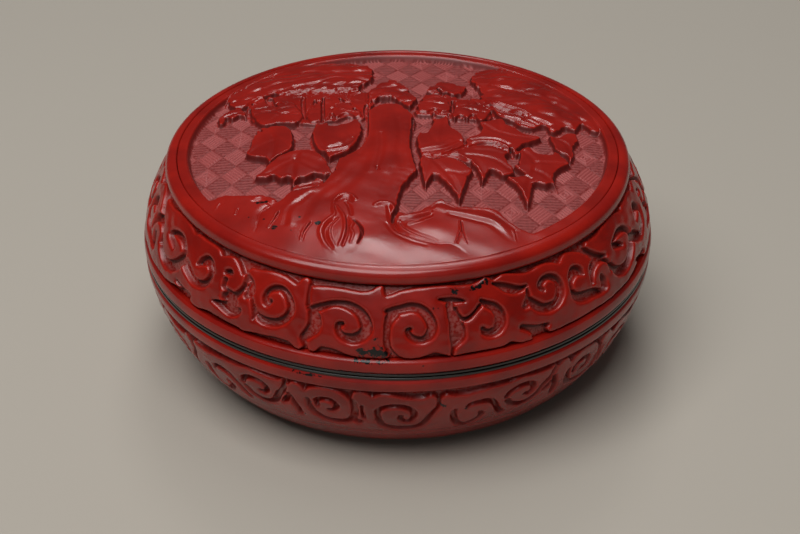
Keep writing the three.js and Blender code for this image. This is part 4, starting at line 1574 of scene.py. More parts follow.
UPPER_LEAVES = (
    ([(-31, 12.6), (-31.4, 16), (-30, 19.4), (-27.6, 21), (-24.6, 21.6), (-20, 22.6), (-15, 22), (-10, 22.4),
      (-6.2, 21.6), (-4.6, 18), (-5.2, 14), (-6.4, 9.6), (-8, 8.6), (-10, 9.8), (-12.4, 8.4), (-14.8, 7.6),
      (-17, 6.8), (-20, 7.4), (-24, 7.6), (-29, 8.8)], 0.75, 0.1),
    ([(3.6, 10.6), (4, 15), (5.2, 19.6), (8, 21), (11.6, 20), (13.4, 18.6), (16.4, 19.4), (18.4, 17),
      (19.6, 13), (19, 9.4), (16.6, 8.6), (13.4, 8.9), (10.8, 9), (8, 10.2)], 0.75, 0.1),
    ([(5.9, 21.6), (7, 24.6), (9.4, 27.4), (12, 26.2), (14.8, 23.8), (13.6, 21.2), (11.8, 19.8), (10, 21),
      (8.4, 20.2), (6.8, 20.6)], 1, 0.2),
    ([(-36.6, 9.4), (-37, 12), (-35.4, 15), (-33, 16.4), (-31.4, 14.6), (-31, 11.6), (-32.6, 12.4),
      (-34, 11), (-35, 12), (-35.4, 9.6)], 0.9, 0.2),
    ([(-28.4, 7.8), (-29.3, 10), (-30.5, 13), (-30.9, 15.6), (-28.6, 15.2), (-26.6, 16), (-25, 17.8),
      (-23.6, 16.6), (-21.6, 17), (-20.3, 14.4), (-19.3, 11.4), (-19.4, 8.8), (-20.8, 6.9), (-24, 7.4),
      (-26.5, 6.8)], 1.1, 0.2),
    ([(-18.6, 9.5), (-18.4, 12.5), (-17.4, 15.4), (-16.2, 17.6), (-15.4, 14.6), (-15, 11.5), (-14.6, 8.8),
      (-16, 7.6), (-17.6, 7.6)], 1, 0.2),
    ([(-14, 9.6), (-13.8, 12.6), (-12.6, 15.6), (-10.6, 16.8), (-9, 14.8), (-7.6, 12.4), (-7.2, 9.6),
      (-8.6, 9.2), (-9.6, 10.6), (-11, 10.8), (-12.2, 9.4)], 1, 0.25),
    ([(-5, 23.6), (-3.8, 26), (-1.4, 27.4), (0.4, 26.6), (1.7, 24.2), (2.8, 21), (4.1, 18), (3.6, 15.4),
      (2.6, 13.6), (1, 15), (-0.6, 17.4), (-2.6, 18.4), (-4.6, 17.4), (-5.8, 15.6), (-6.4, 18.6),
      (-6.4, 21.4)], 1.1, 0.3),
    ([(5.8, 20.2), (8.5, 20.2), (9.8, 18.5), (11, 15.5), (10.8, 12.5), (9, 11.3), (7.8, 12.8), (6.3, 11.6),
      (4.4, 11.9), (4, 14), (4.9, 17.5)], 1, 0.25),
    ([(13, 17.4), (15.5, 17.9), (17, 15.6), (18.3, 14.1), (19.5, 12.8), (18.6, 10), (17.5, 7.9), (16.4, 8),
      (15.4, 10.4), (14.2, 8.3), (13, 9.9), (11.5, 8.4), (11, 11), (11.6, 14), (12, 16.3)], 1.1, 0.25),
    ([(30.3, 3), (32, 2.4), (34, 4.6), (36, 4.6), (36.4, 2), (35.6, 0), (35, -2), (34.8, -5), (33.7, -7.4),
      (33, -5), (31.4, -3.4), (30.7, -1)], 1, 0.2),
)
BANKS = (
    ([(-46, -18), (-42, -19), (-38, -20.4), (-36, -21.2), (-34.6, -20.8), (-33, -19.6), (-31.4, -19.8),
      (-29, -20.2), (-26, -20.2), (-24.5, -20.9), (-22.8, -21.8), (-21.4, -24), (-20, -28), (-16, -40),
      (-14, -50), (-50, -50)], 1.15, 0.15),
    ([(-0.2, -27.6), (2, -27.6), (4, -26.6), (6, -24.6), (8, -22.9), (9.2, -23.9), (11, -25.1), (14, -25.3),
      (18.2, -25.8), (20, -28.4), (22, -31.2), (24.2, -33), (27, -34), (34, -34.8), (40, -50), (-6, -50),
      (-4, -38), (-2, -33)], 1.15, 0.3),
)
TREE_AND_GOURD = (
    ([(-1.2, 15.2), (0.6, 14.6), (2.2, 12), (3.4, 9.4), (3.6, 6.5), (3.1, 3.5), (2.8, 0), (2.7, -3.5),
      (3.1, -7), (3.5, -10.5), (3.9, -13.2), (2.6, -15.8), (1.2, -19), (0.4, -22.5), (0, -26.5),
      (-0.9, -28.6), (-0.7, -31), (0.2, -33.6), (3, -35.7), (6.6, -37.2), (11, -38.6), (14, -50), (-18, -50),
      (-24, -41), (-26, -34.6), (-25.6, -29), (-25.4, -26.2), (-22.4, -22.8), (-20.5, -19.8), (-18.5, -18.7),
      (-15.4, -17.6), (-14, -16.2), (-12.8, -13.8), (-12.1, -10.5), (-11.4, -8.4), (-9.6, -6.6),
      (-7.9, -4.2), (-6.9, -1), (-6.4, 2.5), (-6.3, 6), (-6.4, 9.5), (-5.6, 12.5),
      (-3.6, 14.6)], 1.25, 0.45, 0.45, 0.1, 3.5),
    ([(-10, -21.7), (-8.3, -22.5), (-7.6, -24.6), (-7.9, -27), (-8.2, -29.3), (-7, -31), (-6, -34),
      (-6.4, -37.3), (-8, -40), (-10.2, -41), (-12.4, -39.4), (-14, -36), (-14.1, -33), (-12.7, -30.6),
      (-11.6, -29.4), (-12.2, -26.8), (-12.3, -24.4), (-11.5, -22.5)], 1.58, 0.1, 1.1, 0, 1.5),
)
LOWER_LEAVES = (
    ([(4.4, -5), (8, -5), (12, -2.6), (13.6, -2), (15.4, -5), (14.4, -10), (13, -9.8), (11, -8.4), (8, -8.6),
      (5, -8.8)], 1, 0, 0.45, 0),
    ([(13.4, -1), (16, -1), (20, -2), (23.4, -3.6), (24.6, -4.6), (23.4, -6), (21.2, -5.8), (18, -4),
      (14.4, -4)], 1, 0, 0.45, 0),
    ([(-28.2, 5), (-26.6, 5.9), (-24, 6.2), (-21.8, 5.2), (-20.9, 3), (-20.5, 0), (-20.7, -3.4),
      (-22.2, -5.8), (-23.6, -7.1), (-24.9, -8.9), (-25.9, -7.2), (-27.6, -6.7), (-29.9, -5.2),
      (-29.4, -2.6), (-29.3, 0), (-28.8, 2.4)], 1.3, 0.1, 0.45, 0.06),
    ([(-20.2, -17.6), (-18.6, -16.4), (-17, -15.9), (-15.6, -14.8), (-14.5, -15), (-13.8, -16.6), (-15, -18),
      (-17.4, -18.6), (-19.9, -19.2)], 0.8, 0.1),
    ([(-20.4, -4.6), (-17.6, -4.6), (-15.2, -6.2), (-13.9, -8.6), (-13.2, -11), (-12.5, -13.6),
      (-13.8, -14.9), (-15.8, -14.1), (-17.4, -15.3), (-18.9, -15.7), (-19.9, -17.9), (-20.6, -15.1),
      (-22.3, -15.6), (-23.8, -14.2), (-25.2, -15), (-27.6, -14.2), (-26.2, -11.8), (-25.2, -9.4),
      (-23.9, -7.5), (-22.6, -6)], 1.35, 0.15, 0.45, 0.06),
    ([(-16.6, 6.6), (-17.3, 2.6), (-17.1, -1.5), (-15.8, -4.8), (-14.2, -6.2), (-13.3, -8.6), (-12.1, -7.4),
      (-10.2, -6.1), (-8.4, -3.6), (-7.4, 0), (-7, 3), (-7.2, 6), (-8.4, 8), (-10, 6.6), (-11.6, 5.9),
      (-13.2, 5.2), (-14.2, 6.8), (-15.6, 6)], 1.25, 0.1, 0.45, 0.06),
    ([(4.4, 2.8), (5.5, 1.9), (6.9, 5.6), (7, 7.9), (8.6, 8.3), (9.9, 10), (10.6, 8), (10.7, 5.4),
      (11.6, 3.6), (13, 1.9), (13.5, -1), (13.1, -3.4), (11.7, -4.8), (10, -6), (8.4, -7.2), (6, -7.4),
      (4.3, -6.4), (3.7, -3), (3.7, 0)], 1.25, 0.1, 0.45, 0.06),
    ([(13.3, -4.2), (15.4, -3.2), (18, -2.8), (20.2, -3.9), (21.9, -5.2), (21.3, -7.4), (21.9, -9.6),
      (22.6, -11.4), (22.6, -13.2), (21, -14.4), (19.9, -14.3), (18.4, -12.7), (17.6, -13.4), (16.1, -17),
      (15.3, -12.9), (13.9, -10), (12.2, -7.9), (10.2, -6.8), (12, -5.6)], 1.3, 0.1, 0.45, 0.06),
    ([(16.4, 7), (18, 7.6), (19.8, 8.8), (21.6, 9), (22.5, 6.6), (24, 5), (25.6, 3), (28.8, 1.6), (27, -0.4),
      (25, -1.8), (23.8, -4), (22.4, -4.8), (20.4, -3), (18, -2.2), (15.4, -2.8), (13.6, -3.6), (13.4, -0.6),
      (14.8, 1), (16.2, 2.2), (16.8, 4.4)], 1.2, 0.1, 0.45, 0.06),
    ([(24.2, -4), (25.4, -2.8), (26.6, -3.2), (27.2, -4.8), (29.8, -5.4), (31.2, -3.8), (33.4, -7.6),
      (33.6, -8.7), (32, -10.2), (30.8, -12), (30.1, -14.4), (30.4, -17.9), (29.6, -16.5), (28, -16.9),
      (26, -16.7), (25.7, -19), (25.3, -21), (24.2, -24.7), (23.2, -20.6), (22.2, -17.6), (20.6, -14.9),
      (22.6, -14.4), (24, -13.4), (23.2, -11.8), (22.4, -10.4), (23.4, -8.4)], 1.25, 0.15, 0.45, 0.06),
    ([(4.5, -8.1), (7, -8.6), (9.8, -7.7), (12, -8.7), (13.5, -10.6), (14.7, -12.8), (13.6, -15.5),
      (13.2, -18), (12.5, -20.6), (11.5, -24), (10.6, -21), (9.4, -18.5), (8.3, -16.6), (6.9, -15), (6, -17),
      (5.2, -18.8), (4.6, -16), (4.3, -13), (4, -10.4)], 1.3, 0.15, 0.45, 0.06),
)
# Strokes of the picture as (mm across, mm along, half width in mm), each with its rise and the width of
# its flank. A stroke with a fourth value is a slot, and the value is the level of its floor.
SLOTS = (
    ([(-6.2, 11, 0.25), (-6.2, 2, 0.3), (-6.6, -1, 0.3), (-7.2, -3, 0.4), (-8.2, -5, 0.45),
      (-9.8, -6.5, 0.5), (-11.5, -7.4, 0.6), (-12.7, -8.8, 0.75), (-12.8, -10.6, 0.4),
      (-12.2, -12.8, 0.25)], 0, 0.2, 0),
    ([(-21, 2.5, 0.2), (-20.3, 0, 0.35), (-20.2, -3, 0.35), (-20.8, -4.8, 0.2)], 0, 0.2, 0.1),
    ([(-17.2, 2, 0.2), (-17, -1, 0.3), (-16.5, -3, 0.3), (-15.8, -4.7, 0.2)], 0, 0.2, 0.1),
    ([(3.1, 8, 0.15), (3, -1, 0.25), (3, -4, 0.35), (3.3, -7, 0.15)], 0, 0.2, 0.2),
    ([(3.6, -9, 0.15), (4, -11, 0.2), (4.1, -13.5, 0.35), (4, -15, 0.5)], 0, 0.2, 0),
    ([(10.4, 11, 0.15), (10.8, 8, 0.25), (11.1, 5.4, 0.3), (11.7, 3.7, 0.15)], 0, 0.2, 0.3),
    ([(22.3, -4, 0.3), (22.8, -7, 0.45), (23.2, -10, 0.3)], 0, 0.25, 0),
    ([(-29.3, 9.2, 0.2), (-28.6, 6.5, 0.35), (-27.4, 4, 0.2)], 0, 0.2, 0.3),
    ([(-19.6, 19.6, 0.3), (-19.4, 14, 0.4), (-18.7, 9.2, 0.2)], 0, 0.25, 0.4),
    ([(-15.6, 17, 0.2), (-15.3, 12, 0.3), (-15.3, 8, 0.2)], 0, 0.25, 0.4),
)
BARK = (
    ([(-3.3, 1, 0.15), (-3, -4, 0.25), (-3.5, -9, 0.25), (-4, -12, 0.15)], -0.3, 0.5),
    ([(-4.6, 3, 0.2), (-4.2, -3, 0.35), (-4.7, -9, 0.35), (-5.4, -14, 0.2)], 0.22, 0.7),
    ([(0.2, 7, 0.15), (0.7, 0, 0.25), (0.4, -6, 0.25), (0.9, -13, 0.15)], -0.22, 0.6),
    ([(1.9, 8, 0.2), (2, 1, 0.3), (1.8, -6, 0.3), (2.3, -11, 0.2)], 0.2, 0.6),
    ([(-1.6, 11, 0.2), (-1.2, 3, 0.4), (-1.5, -4, 0.4), (-1.9, -14, 0.2)], 0.22, 0.8),
    ([(-5.2, 9, 0.1), (-5.1, 3, 0.2), (-5.6, -3, 0.2), (-7.4, -7.5, 0.1)], -0.2, 0.5),
    ([(-8.4, -8.6, 0.1), (-10, -12, 0.3), (-11.8, -15.5, 0.3), (-14, -18.2, 0.1)], 0.25, 0.9),
    ([(-6.5, -10, 0.1), (-7.6, -15, 0.3), (-9.5, -19, 0.3), (-13, -23, 0.1)], -0.22, 0.9),
    ([(-1, -13, 0.1), (-2, -18, 0.3), (-2.6, -22, 0.2)], -0.2, 0.9),
    ([(-1.6, -26, 0.2), (-1.2, -30, 0.35), (0, -33.2, 0.35), (3, -35.6, 0.25),
      (6.6, -37.2, 0.1)], -0.75, 0.35),
    ([(0.4, -31, 0.1), (2.2, -33.6, 0.2), (4.4, -35.2, 0.2), (7, -36.6, 0.1)], -0.5, 0.3),
    ([(-2, -31.5, 0.1), (-0.6, -34.4, 0.2), (2, -36.6, 0.2), (5, -38, 0.1)], -0.3, 0.35),
    ([(-6, -36.4, 0.6), (-3, -35.6, 1.1), (0, -36.2, 1.1), (4, -37.8, 0.6)], 0.3, 2.2),
)
LEAF_FOLDS = (
    ([(-23.4, -7.4, 0.1), (-20.5, -6.3, 0.3), (-17.5, -6.4, 0.3), (-15, -8.4, 0.1)], 0.28, 0.8),
    ([(-19.4, -5.4, 0.1), (-20, -9.5, 0.2), (-20.2, -13, 0.2), (-20, -16.4, 0.1)], -0.28, 0.5),
    ([(-20, -8.5, 0.1), (-17.6, -10.6, 0.2), (-15.4, -12.6, 0.1)], -0.18, 0.5),
    ([(-20, -8.5, 0.1), (-22.6, -11, 0.2), (-25, -13.4, 0.1)], -0.18, 0.5),
    ([(-27.4, -14, 0.1), (-24, -14.2, 0.2), (-22.2, -15, 0.2), (-20.8, -14.6, 0.2),
      (-20, -17, 0.1)], 0.2, 0.4),
    ([(-19.6, -17.2, 0.2), (-17.8, -15.9, 0.3), (-16, -14.9, 0.3), (-14, -15.3, 0.2)], 0.3, 0.4),
    ([(-18.6, -17.4, 0.1), (-16.6, -16.6, 0.35), (-14.8, -16.3, 0.2)], -0.45, 0.4),
    ([(-26.2, 5.4, 0.1), (-25, 1.5, 0.2), (-24.4, -3, 0.2), (-24.7, -7.6, 0.1)], -0.28, 0.5),
    ([(-25, 1.5, 0.1), (-22.6, -1, 0.2), (-21.4, -3.4, 0.1)], -0.16, 0.5),
    ([(-24.8, -0.5, 0.1), (-27, -2.4, 0.2), (-28.8, -4.6, 0.1)], -0.16, 0.5),
    ([(-28.6, 3.6, 0.1), (-28.5, -1, 0.25), (-29, -4.4, 0.1)], 0.25, 0.6),
    ([(-26, 6.4, 0.2), (-24, 7, 0.3), (-21.5, 7.8, 0.2)], 0.35, 0.5),
    ([(-14, -5.2, 0.2), (-12, -4.7, 0.3), (-10, -3.9, 0.3), (-8.5, -1.8, 0.3),
      (-7.5, 0.6, 0.15)], 0.45, 0.4),
    ([(-13.4, -4.2, 0.2), (-11.6, -3.6, 0.3), (-10, -2.6, 0.3), (-8.8, -0.6, 0.15)], -0.4, 0.5),
    ([(-14.6, 5.6, 0.1), (-13.2, 1, 0.25), (-12, -1.6, 0.25), (-10.8, -3, 0.1)], 0.25, 0.7),
    ([(-16, 5, 0.1), (-15.6, 0.4, 0.25), (-14.6, -3.4, 0.1)], -0.25, 0.6),
    ([(-10.4, 5.6, 0.1), (-10, 2.4, 0.25), (-9, 0, 0.1)], -0.22, 0.5),
    ([(4, -6.2, 0.2), (6.4, -5.6, 0.25), (8.6, -5, 0.25), (10.6, -3.6, 0.2), (12.4, -1.6, 0.1)], -0.5, 0.4),
    ([(4.2, -5, 0.1), (6.5, -4.3, 0.3), (8.6, -3.2, 0.3), (10.4, -1.4, 0.1)], 0.28, 0.6),
    ([(6, 2.8, 0.1), (7, -0.4, 0.2), (8, -3.2, 0.1)], -0.2, 0.5),
    ([(9.6, 8.6, 0.1), (9.4, 4.4, 0.25), (9, 0.4, 0.25), (8.6, -2.4, 0.1)], -0.26, 0.5),
    ([(4.5, -8, 0.2), (7.5, -7.9, 0.35), (10, -6.8, 0.35), (12.2, -7.6, 0.35), (14, -10, 0.35),
      (15.2, -13, 0.3), (16, -16, 0.15)], 0.45, 0.4),
    ([(7, -8.6, 0.1), (10, -7.7, 0.2), (12, -8.8, 0.25), (13.8, -11.4, 0.2), (14.6, -13, 0.1)], -0.45, 0.35),
    ([(7, -7.2, 0.1), (8.6, -6, 0.2), (9.8, -5, 0.1)], -0.4, 0.3),
    ([(7, -9.6, 0.1), (8.6, -12.6, 0.2), (10.6, -17, 0.2), (11.6, -22.4, 0.1)], -0.3, 0.5),
    ([(6, -9.4, 0.1), (5.4, -13, 0.2), (5.2, -17.4, 0.1)], -0.2, 0.5),
    ([(9.6, -13.6, 0.1), (12, -14.4, 0.2), (13.8, -13.8, 0.1)], -0.18, 0.5),
    ([(13.4, -7.2, 0.1), (16, -7.6, 0.2), (19, -9, 0.2), (22, -12.6, 0.1)], -0.3, 0.5),
    ([(15.6, -4.4, 0.1), (18.4, -4.4, 0.25), (20.8, -5.6, 0.1)], 0.22, 0.6),
    ([(15.2, -8.6, 0.1), (16.2, -12.4, 0.2), (16.1, -15.6, 0.1)], -0.2, 0.5),
    ([(15.2, -1.8, 0.2), (17.2, -1.3, 0.4), (19.4, -1.7, 0.45), (21, -3, 0.35),
      (22.2, -4.4, 0.15)], 0.6, 0.45),
    ([(14.4, -0.9, 0.1), (17, -0.4, 0.25), (19.8, -0.7, 0.25), (22, -2.4, 0.1)], -0.4, 0.4),
    ([(16, -2.7, 0.1), (18.6, -2.7, 0.2), (20.4, -3.6, 0.1)], -0.35, 0.35),
    ([(17.6, 5.8, 0.1), (19.6, 3.2, 0.25), (23, 1.4, 0.25), (27, 0.9, 0.1)], -0.28, 0.5),
    ([(20.4, 7.6, 0.1), (20.6, 4.6, 0.2), (20.4, 2.8, 0.1)], -0.18, 0.5),
    ([(24.8, -4.6, 0.1), (26.6, -8.4, 0.25), (26.4, -12.4, 0.25), (25, -17, 0.2),
      (24.2, -22, 0.1)], -0.3, 0.5),
    ([(26.6, -9, 0.1), (29.4, -9, 0.2), (32.4, -8.6, 0.1)], -0.22, 0.5),
    ([(26.4, -12, 0.1), (28.4, -14, 0.2), (29.8, -16.6, 0.1)], -0.2, 0.5),
    ([(20.8, -14.6, 0.2), (22.2, -16.4, 0.4), (23.4, -19.4, 0.35), (24.2, -23, 0.1)], 0.35, 0.6),
    ([(22.3, -18, 0.35), (22.7, -18.6, 0.35)], 0.25, 0.4),
    ([(20.6, -14.2, 0.1), (23.4, -13.8, 0.2), (25.4, -15, 0.1)], -0.35, 0.35),
)
BANK_FOLDS = (
    ([(-15.2, -19.7, 0.2), (-16.5, -20.2, 0.4), (-18, -22, 0.5), (-19.8, -24.8, 0.4),
      (-19.7, -31, 0.2)], 0.45, 0.8),
    ([(-16.4, -21.2, 0.1), (-18.2, -23.6, 0.25), (-20, -26, 0.2), (-20.6, -31, 0.1)], -0.4, 0.5),
    ([(-20.5, -20, 0.1), (-17.6, -19, 0.2), (-14.5, -18.6, 0.1)], -0.3, 0.4),
    ([(-14.4, -20.4, 0.1), (-16.4, -25, 0.3), (-17.6, -30, 0.1)], -0.22, 0.9),
    ([(-22, -22.5, 0.15), (-25.2, -25.8, 0.2), (-25.7, -28, 0.2), (-25.9, -31, 0.1)], -0.4, 0.6),
    ([(-26.8, -21.6, 0.1), (-25.5, -21.2, 0.3), (-24, -22.4, 0.3), (-22.6, -23.4, 0.1)], 0.35, 0.5),
    ([(-27, -22.8, 0.1), (-25.4, -22.5, 0.35), (-23.8, -23.6, 0.2)], -0.5, 0.35),
    ([(-42, -19.6, 0.2), (-37, -22, 0.4), (-32, -21.2, 0.4), (-27, -21, 0.2)], 0.2, 0.8),
    ([(5, -33, 1.2), (7, -33, 1.2)], 0.35, 2.2),
    ([(7.4, -26.2, 0.1), (9.5, -27.2, 0.3), (12, -27.6, 0.4), (15, -28.9, 0.4), (17.2, -30, 0.4),
      (18.8, -31.8, 0.4), (20, -34.2, 0.3), (21.4, -35.6, 0.1)], 0.4, 0.7),
    ([(9.6, -28.3, 0.1), (14, -30, 0.25), (17, -31.2, 0.3), (18.6, -33.2, 0.25),
      (20.2, -35.8, 0.1)], -0.5, 0.5),
    ([(6.4, -26, 0.1), (8.2, -24.8, 0.2), (11.4, -26.6, 0.2), (16.4, -27, 0.2), (19, -29.6, 0.2),
      (21.8, -33, 0.1)], -0.35, 0.4),
)
FAR_FOLDS = (
    ([(18.6, 15.2, 0.2), (21.6, 13, 0.5), (25, 11.2, 0.5), (28, 9.2, 0.4), (31, 7.2, 0.2)], -0.6, 0.6),
    ([(19.4, 12.5, 0.3), (22, 10.4, 0.5), (25, 9.2, 0.4)], 0.4, 0.5),
    ([(26.6, 9.2, 0.2), (29.4, 7.2, 0.4), (32.2, 5, 0.2)], 0.4, 0.5),
    ([(22.4, 8.8, 0.2), (25.4, 7.2, 0.35), (28.8, 5.6, 0.2)], -0.5, 0.4),
    ([(20.6, 20, 0.3), (24, 18.4, 0.7), (28, 16, 0.7), (32, 12.6, 0.6), (35.4, 8.6, 0.2)], 0.35, 1.4),
    ([(20, 25, 0.3), (24, 23, 0.5), (29, 20.4, 0.5), (34, 15.6, 0.4), (38, 10, 0.2)], -0.5, 0.8),
    ([(22, 29, 0.3), (26, 27.2, 0.7), (31, 23.8, 0.7), (36, 17.4, 0.4)], 0.35, 1.3),
    ([(24, 31, 0.2), (28, 29.4, 0.4), (33, 25, 0.3)], -0.4, 0.7),
    ([(-21, 22.4, 0.3), (-18, 23.2, 0.6), (-15.5, 23.5, 0.4)], 0.55, 0.6),
    ([(-13.2, 22.4, 0.4), (-10.4, 23.4, 0.5)], 0.55, 0.6),
    ([(-22, 24.6, 0.2), (-17, 25.4, 0.5), (-12, 25.2, 0.5), (-8, 26, 0.2)], -0.55, 0.6),
    ([(-29, 27.4, 0.3), (-22, 28.6, 0.8), (-14, 28.6, 0.8), (-7, 29.6, 0.3)], 0.35, 1.4),
    ([(-30, 31, 0.2), (-22, 32.2, 0.5), (-13, 31.8, 0.5), (-6, 32.4, 0.2)], -0.5, 0.8),
    ([(-26, 35, 0.3), (-18, 35.4, 0.8), (-9, 34.4, 0.4)], 0.3, 1.3),
    ([(-27.6, 20.4, 0.2), (-26.6, 18, 0.6), (-25.2, 15.6, 0.3)], 0, 0.4, 0.1),
    ([(-36, 20.6, 0.3), (-36.6, 18.6, 0.5)], 0, 0.4, 0.1),
    ([(-32, 28.6, 0.4), (-29.8, 31.4, 0.5)], 0, 0.4, 0.1),
    ([(-34.2, 19, 0.2), (-31.6, 22, 0.5), (-29, 24.6, 0.2)], -0.4, 0.6),
    ([(-18, 20.4, 0.2), (-17, 22, 0.3)], -0.5, 0.4),
    ([(-10.4, 18, 0.2), (-10.6, 21.4, 0.4)], -0.5, 0.4),
    ([(-29.8, 13.6, 0.1), (-25.6, 12.4, 0.25), (-20.4, 11, 0.1)], -0.3, 0.5),
    ([(-25.6, 12.4, 0.1), (-24.6, 16.4, 0.1)], -0.2, 0.4),
    ([(-12.8, 13.6, 0.1), (-10.6, 12.6, 0.25), (-8, 11.4, 0.1)], 0.3, 0.4),
    ([(-13.4, 11.2, 0.1), (-12.6, 8.4, 0.4), (-12, 6.4, 0.2)], 0, 0.3, 0.5),
    ([(-5.4, 19.6, 0.2), (-1.4, 22, 0.4), (2.6, 20, 0.2)], -0.35, 0.6),
    ([(-4.6, 24.4, 0.2), (-1.6, 25.4, 0.5), (1.2, 23.4, 0.2)], 0.3, 0.7),
    ([(4.8, 15.8, 0.1), (7.6, 15.6, 0.3), (10.2, 14.6, 0.1)], -0.3, 0.5),
    ([(12, 13.6, 0.1), (14.8, 12.6, 0.3), (17.8, 11.4, 0.1)], -0.3, 0.5),
    ([(15, 16.8, 0.1), (15, 12.8, 0.2), (15.2, 10.6, 0.1)], -0.2, 0.5),
    ([(31.6, 1.4, 0.1), (33.6, -0.6, 0.25), (34.2, -5, 0.1)], -0.25, 0.5),
)
GOURD_FOLDS = (
    ([(-12, -24.6, 0.1), (-11.3, -23, 0.25), (-10, -22.1, 0.3), (-8.7, -22.6, 0.2),
      (-7.9, -23.9, 0.1)], 0.24, 0.5),
    ([(-11.2, -24.2, 0.15), (-10.3, -23.2, 0.25), (-9.2, -23.3, 0.25), (-8.6, -24.5, 0.15)], -0.24, 0.4),
    ([(-11.9, -25, 0.1), (-11.9, -27, 0.15), (-11.7, -28.8, 0.15), (-12.9, -30.4, 0.2), (-13.8, -32.2, 0.3),
      (-14, -34.4, 0.3), (-13, -37.6, 0.3), (-10.9, -40.4, 0.1)], 0.26, 0.4),
    ([(-11.8, -30.4, 0.1), (-13, -32.8, 0.15), (-13, -35.6, 0.15), (-11.8, -38.8, 0.1)], -0.26, 0.35),
    ([(-11, -30, 0.1), (-12.2, -32.4, 0.15), (-12.3, -35, 0.15), (-11.2, -38.4, 0.1)], 0.22, 0.3),
    ([(-11.3, -26, 0.1), (-10.6, -27.6, 0.15), (-9.9, -29.4, 0.15), (-9.6, -32, 0.15), (-9.8, -35, 0.15),
      (-10.6, -38, 0.1)], 0.24, 0.3),
    ([(-9.6, -24.8, 0.1), (-8.9, -26.4, 0.2), (-8.5, -28.8, 0.15)], -0.24, 0.4),
    ([(-9.3, -29.6, 0.1), (-9.1, -32.6, 0.1), (-9.3, -35.6, 0.1), (-9.9, -38, 0.1)], -0.3, 0.25),
    ([(-8.7, -30.4, 0.1), (-8.2, -31.8, 0.15), (-8.6, -33.2, 0.15), (-8.1, -35, 0.15),
      (-8.5, -37.2, 0.1)], 0.2, 0.3),
    ([(-7.9, -30.6, 0.1), (-6.7, -32.8, 0.22), (-6.5, -35, 0.22), (-7.2, -37.4, 0.1)], 0, 0.25, 0.7),
)
CRISP_FOLDS = (
    ([(-4.1, -25.7, 0.15), (-2.9, -25.1, 0.35), (-1.4, -25.5, 0.35), (-0.4, -27.6, 0.15)], 0.36, 0.6),
    ([(-3.9, -12.5, 0.15), (-3.7, -13.3, 0.2)], -0.35, 0.35),
    ([(0.3, -29.3, 0.15), (3, -28.9, 0.3), (6.2, -27.7, 0.15)], 0.35, 0.3),
    ([(0.6, -30.3, 0.1), (3.2, -29.8, 0.2), (6.2, -28.5, 0.1)], -0.4, 0.3),
    ([(1.8, -31.8, 0.1), (3.8, -30.8, 0.25), (6.2, -29.2, 0.1)], 0.3, 0.3),
    ([(19.3, 16.9, 0.1), (22, 15.2, 0.3), (25, 13.3, 0.3), (27.2, 11.4, 0.1)], 0.4, 0.4),
    ([(19, 15.4, 0.1), (22, 13.6, 0.3), (25.4, 11.4, 0.2)], -0.4, 0.4),
)
# Blades of grass and gaps between leaves, as strokes alone.
GRASS = (
    [(-22.2, -27, 0.05), (-23, -29.4, 0.1), (-23.8, -31.6, 0.03)],
    [(-16.1, -31, 0.05), (-17.2, -33.4, 0.1), (-17.6, -36, 0.03)],
    [(-33.6, -22.8, 0.08), (-34.1, -24.8, 0.03)],
    [(-30, -24.8, 0.05), (-30.2, -26.8, 0.03)],
    [(11.3, -30.8, 0.05), (11.5, -34, 0.1), (12.3, -37.2, 0.03)],
    [(11.2, -33.8, 0.05), (10.4, -37.2, 0.03)],
    [(21, -32.8, 0.05), (21.3, -36, 0.03)],
)
LEAF_GAPS = (
    [(-26.5, 19.6, 0.5), (-26.2, 17.6, 0.6), (-25.3, 15.6, 0.3)],
    [(-17.2, 18, 0.2), (-17.1, 16.6, 0.45)],
    [(-11.9, 18.4, 0.3), (-11.4, 17.2, 0.4)],
    [(-8.9, 13.2, 0.25), (-8.6, 12.4, 0.3)],
    [(-6.4, 15, 0.4), (-6.5, 12, 0.45), (-6.3, 9, 0.3)],
    [(-30.6, 15, 0.2), (-30.3, 11, 0.25), (-29.2, 8, 0.2)],
    [(-19.9, 19, 0.2), (-19.6, 14, 0.25), (-18.9, 10, 0.2)],
    [(-15.5, 19, 0.25), (-15.4, 13, 0.25), (-15.2, 9, 0.2)],
    [(7.4, 11, 0.3), (7.9, 9.4, 0.4)],
    [(11.4, 17, 0.2), (11.3, 12, 0.25)],
    [(19.4, 13, 0.3), (19.8, 11.6, 0.35)],
    [(14, 20, 0.6), (15.2, 17.6, 0.4)],
    [(8.6, 22.4, 0.3), (9.6, 20.4, 0.3)],
)
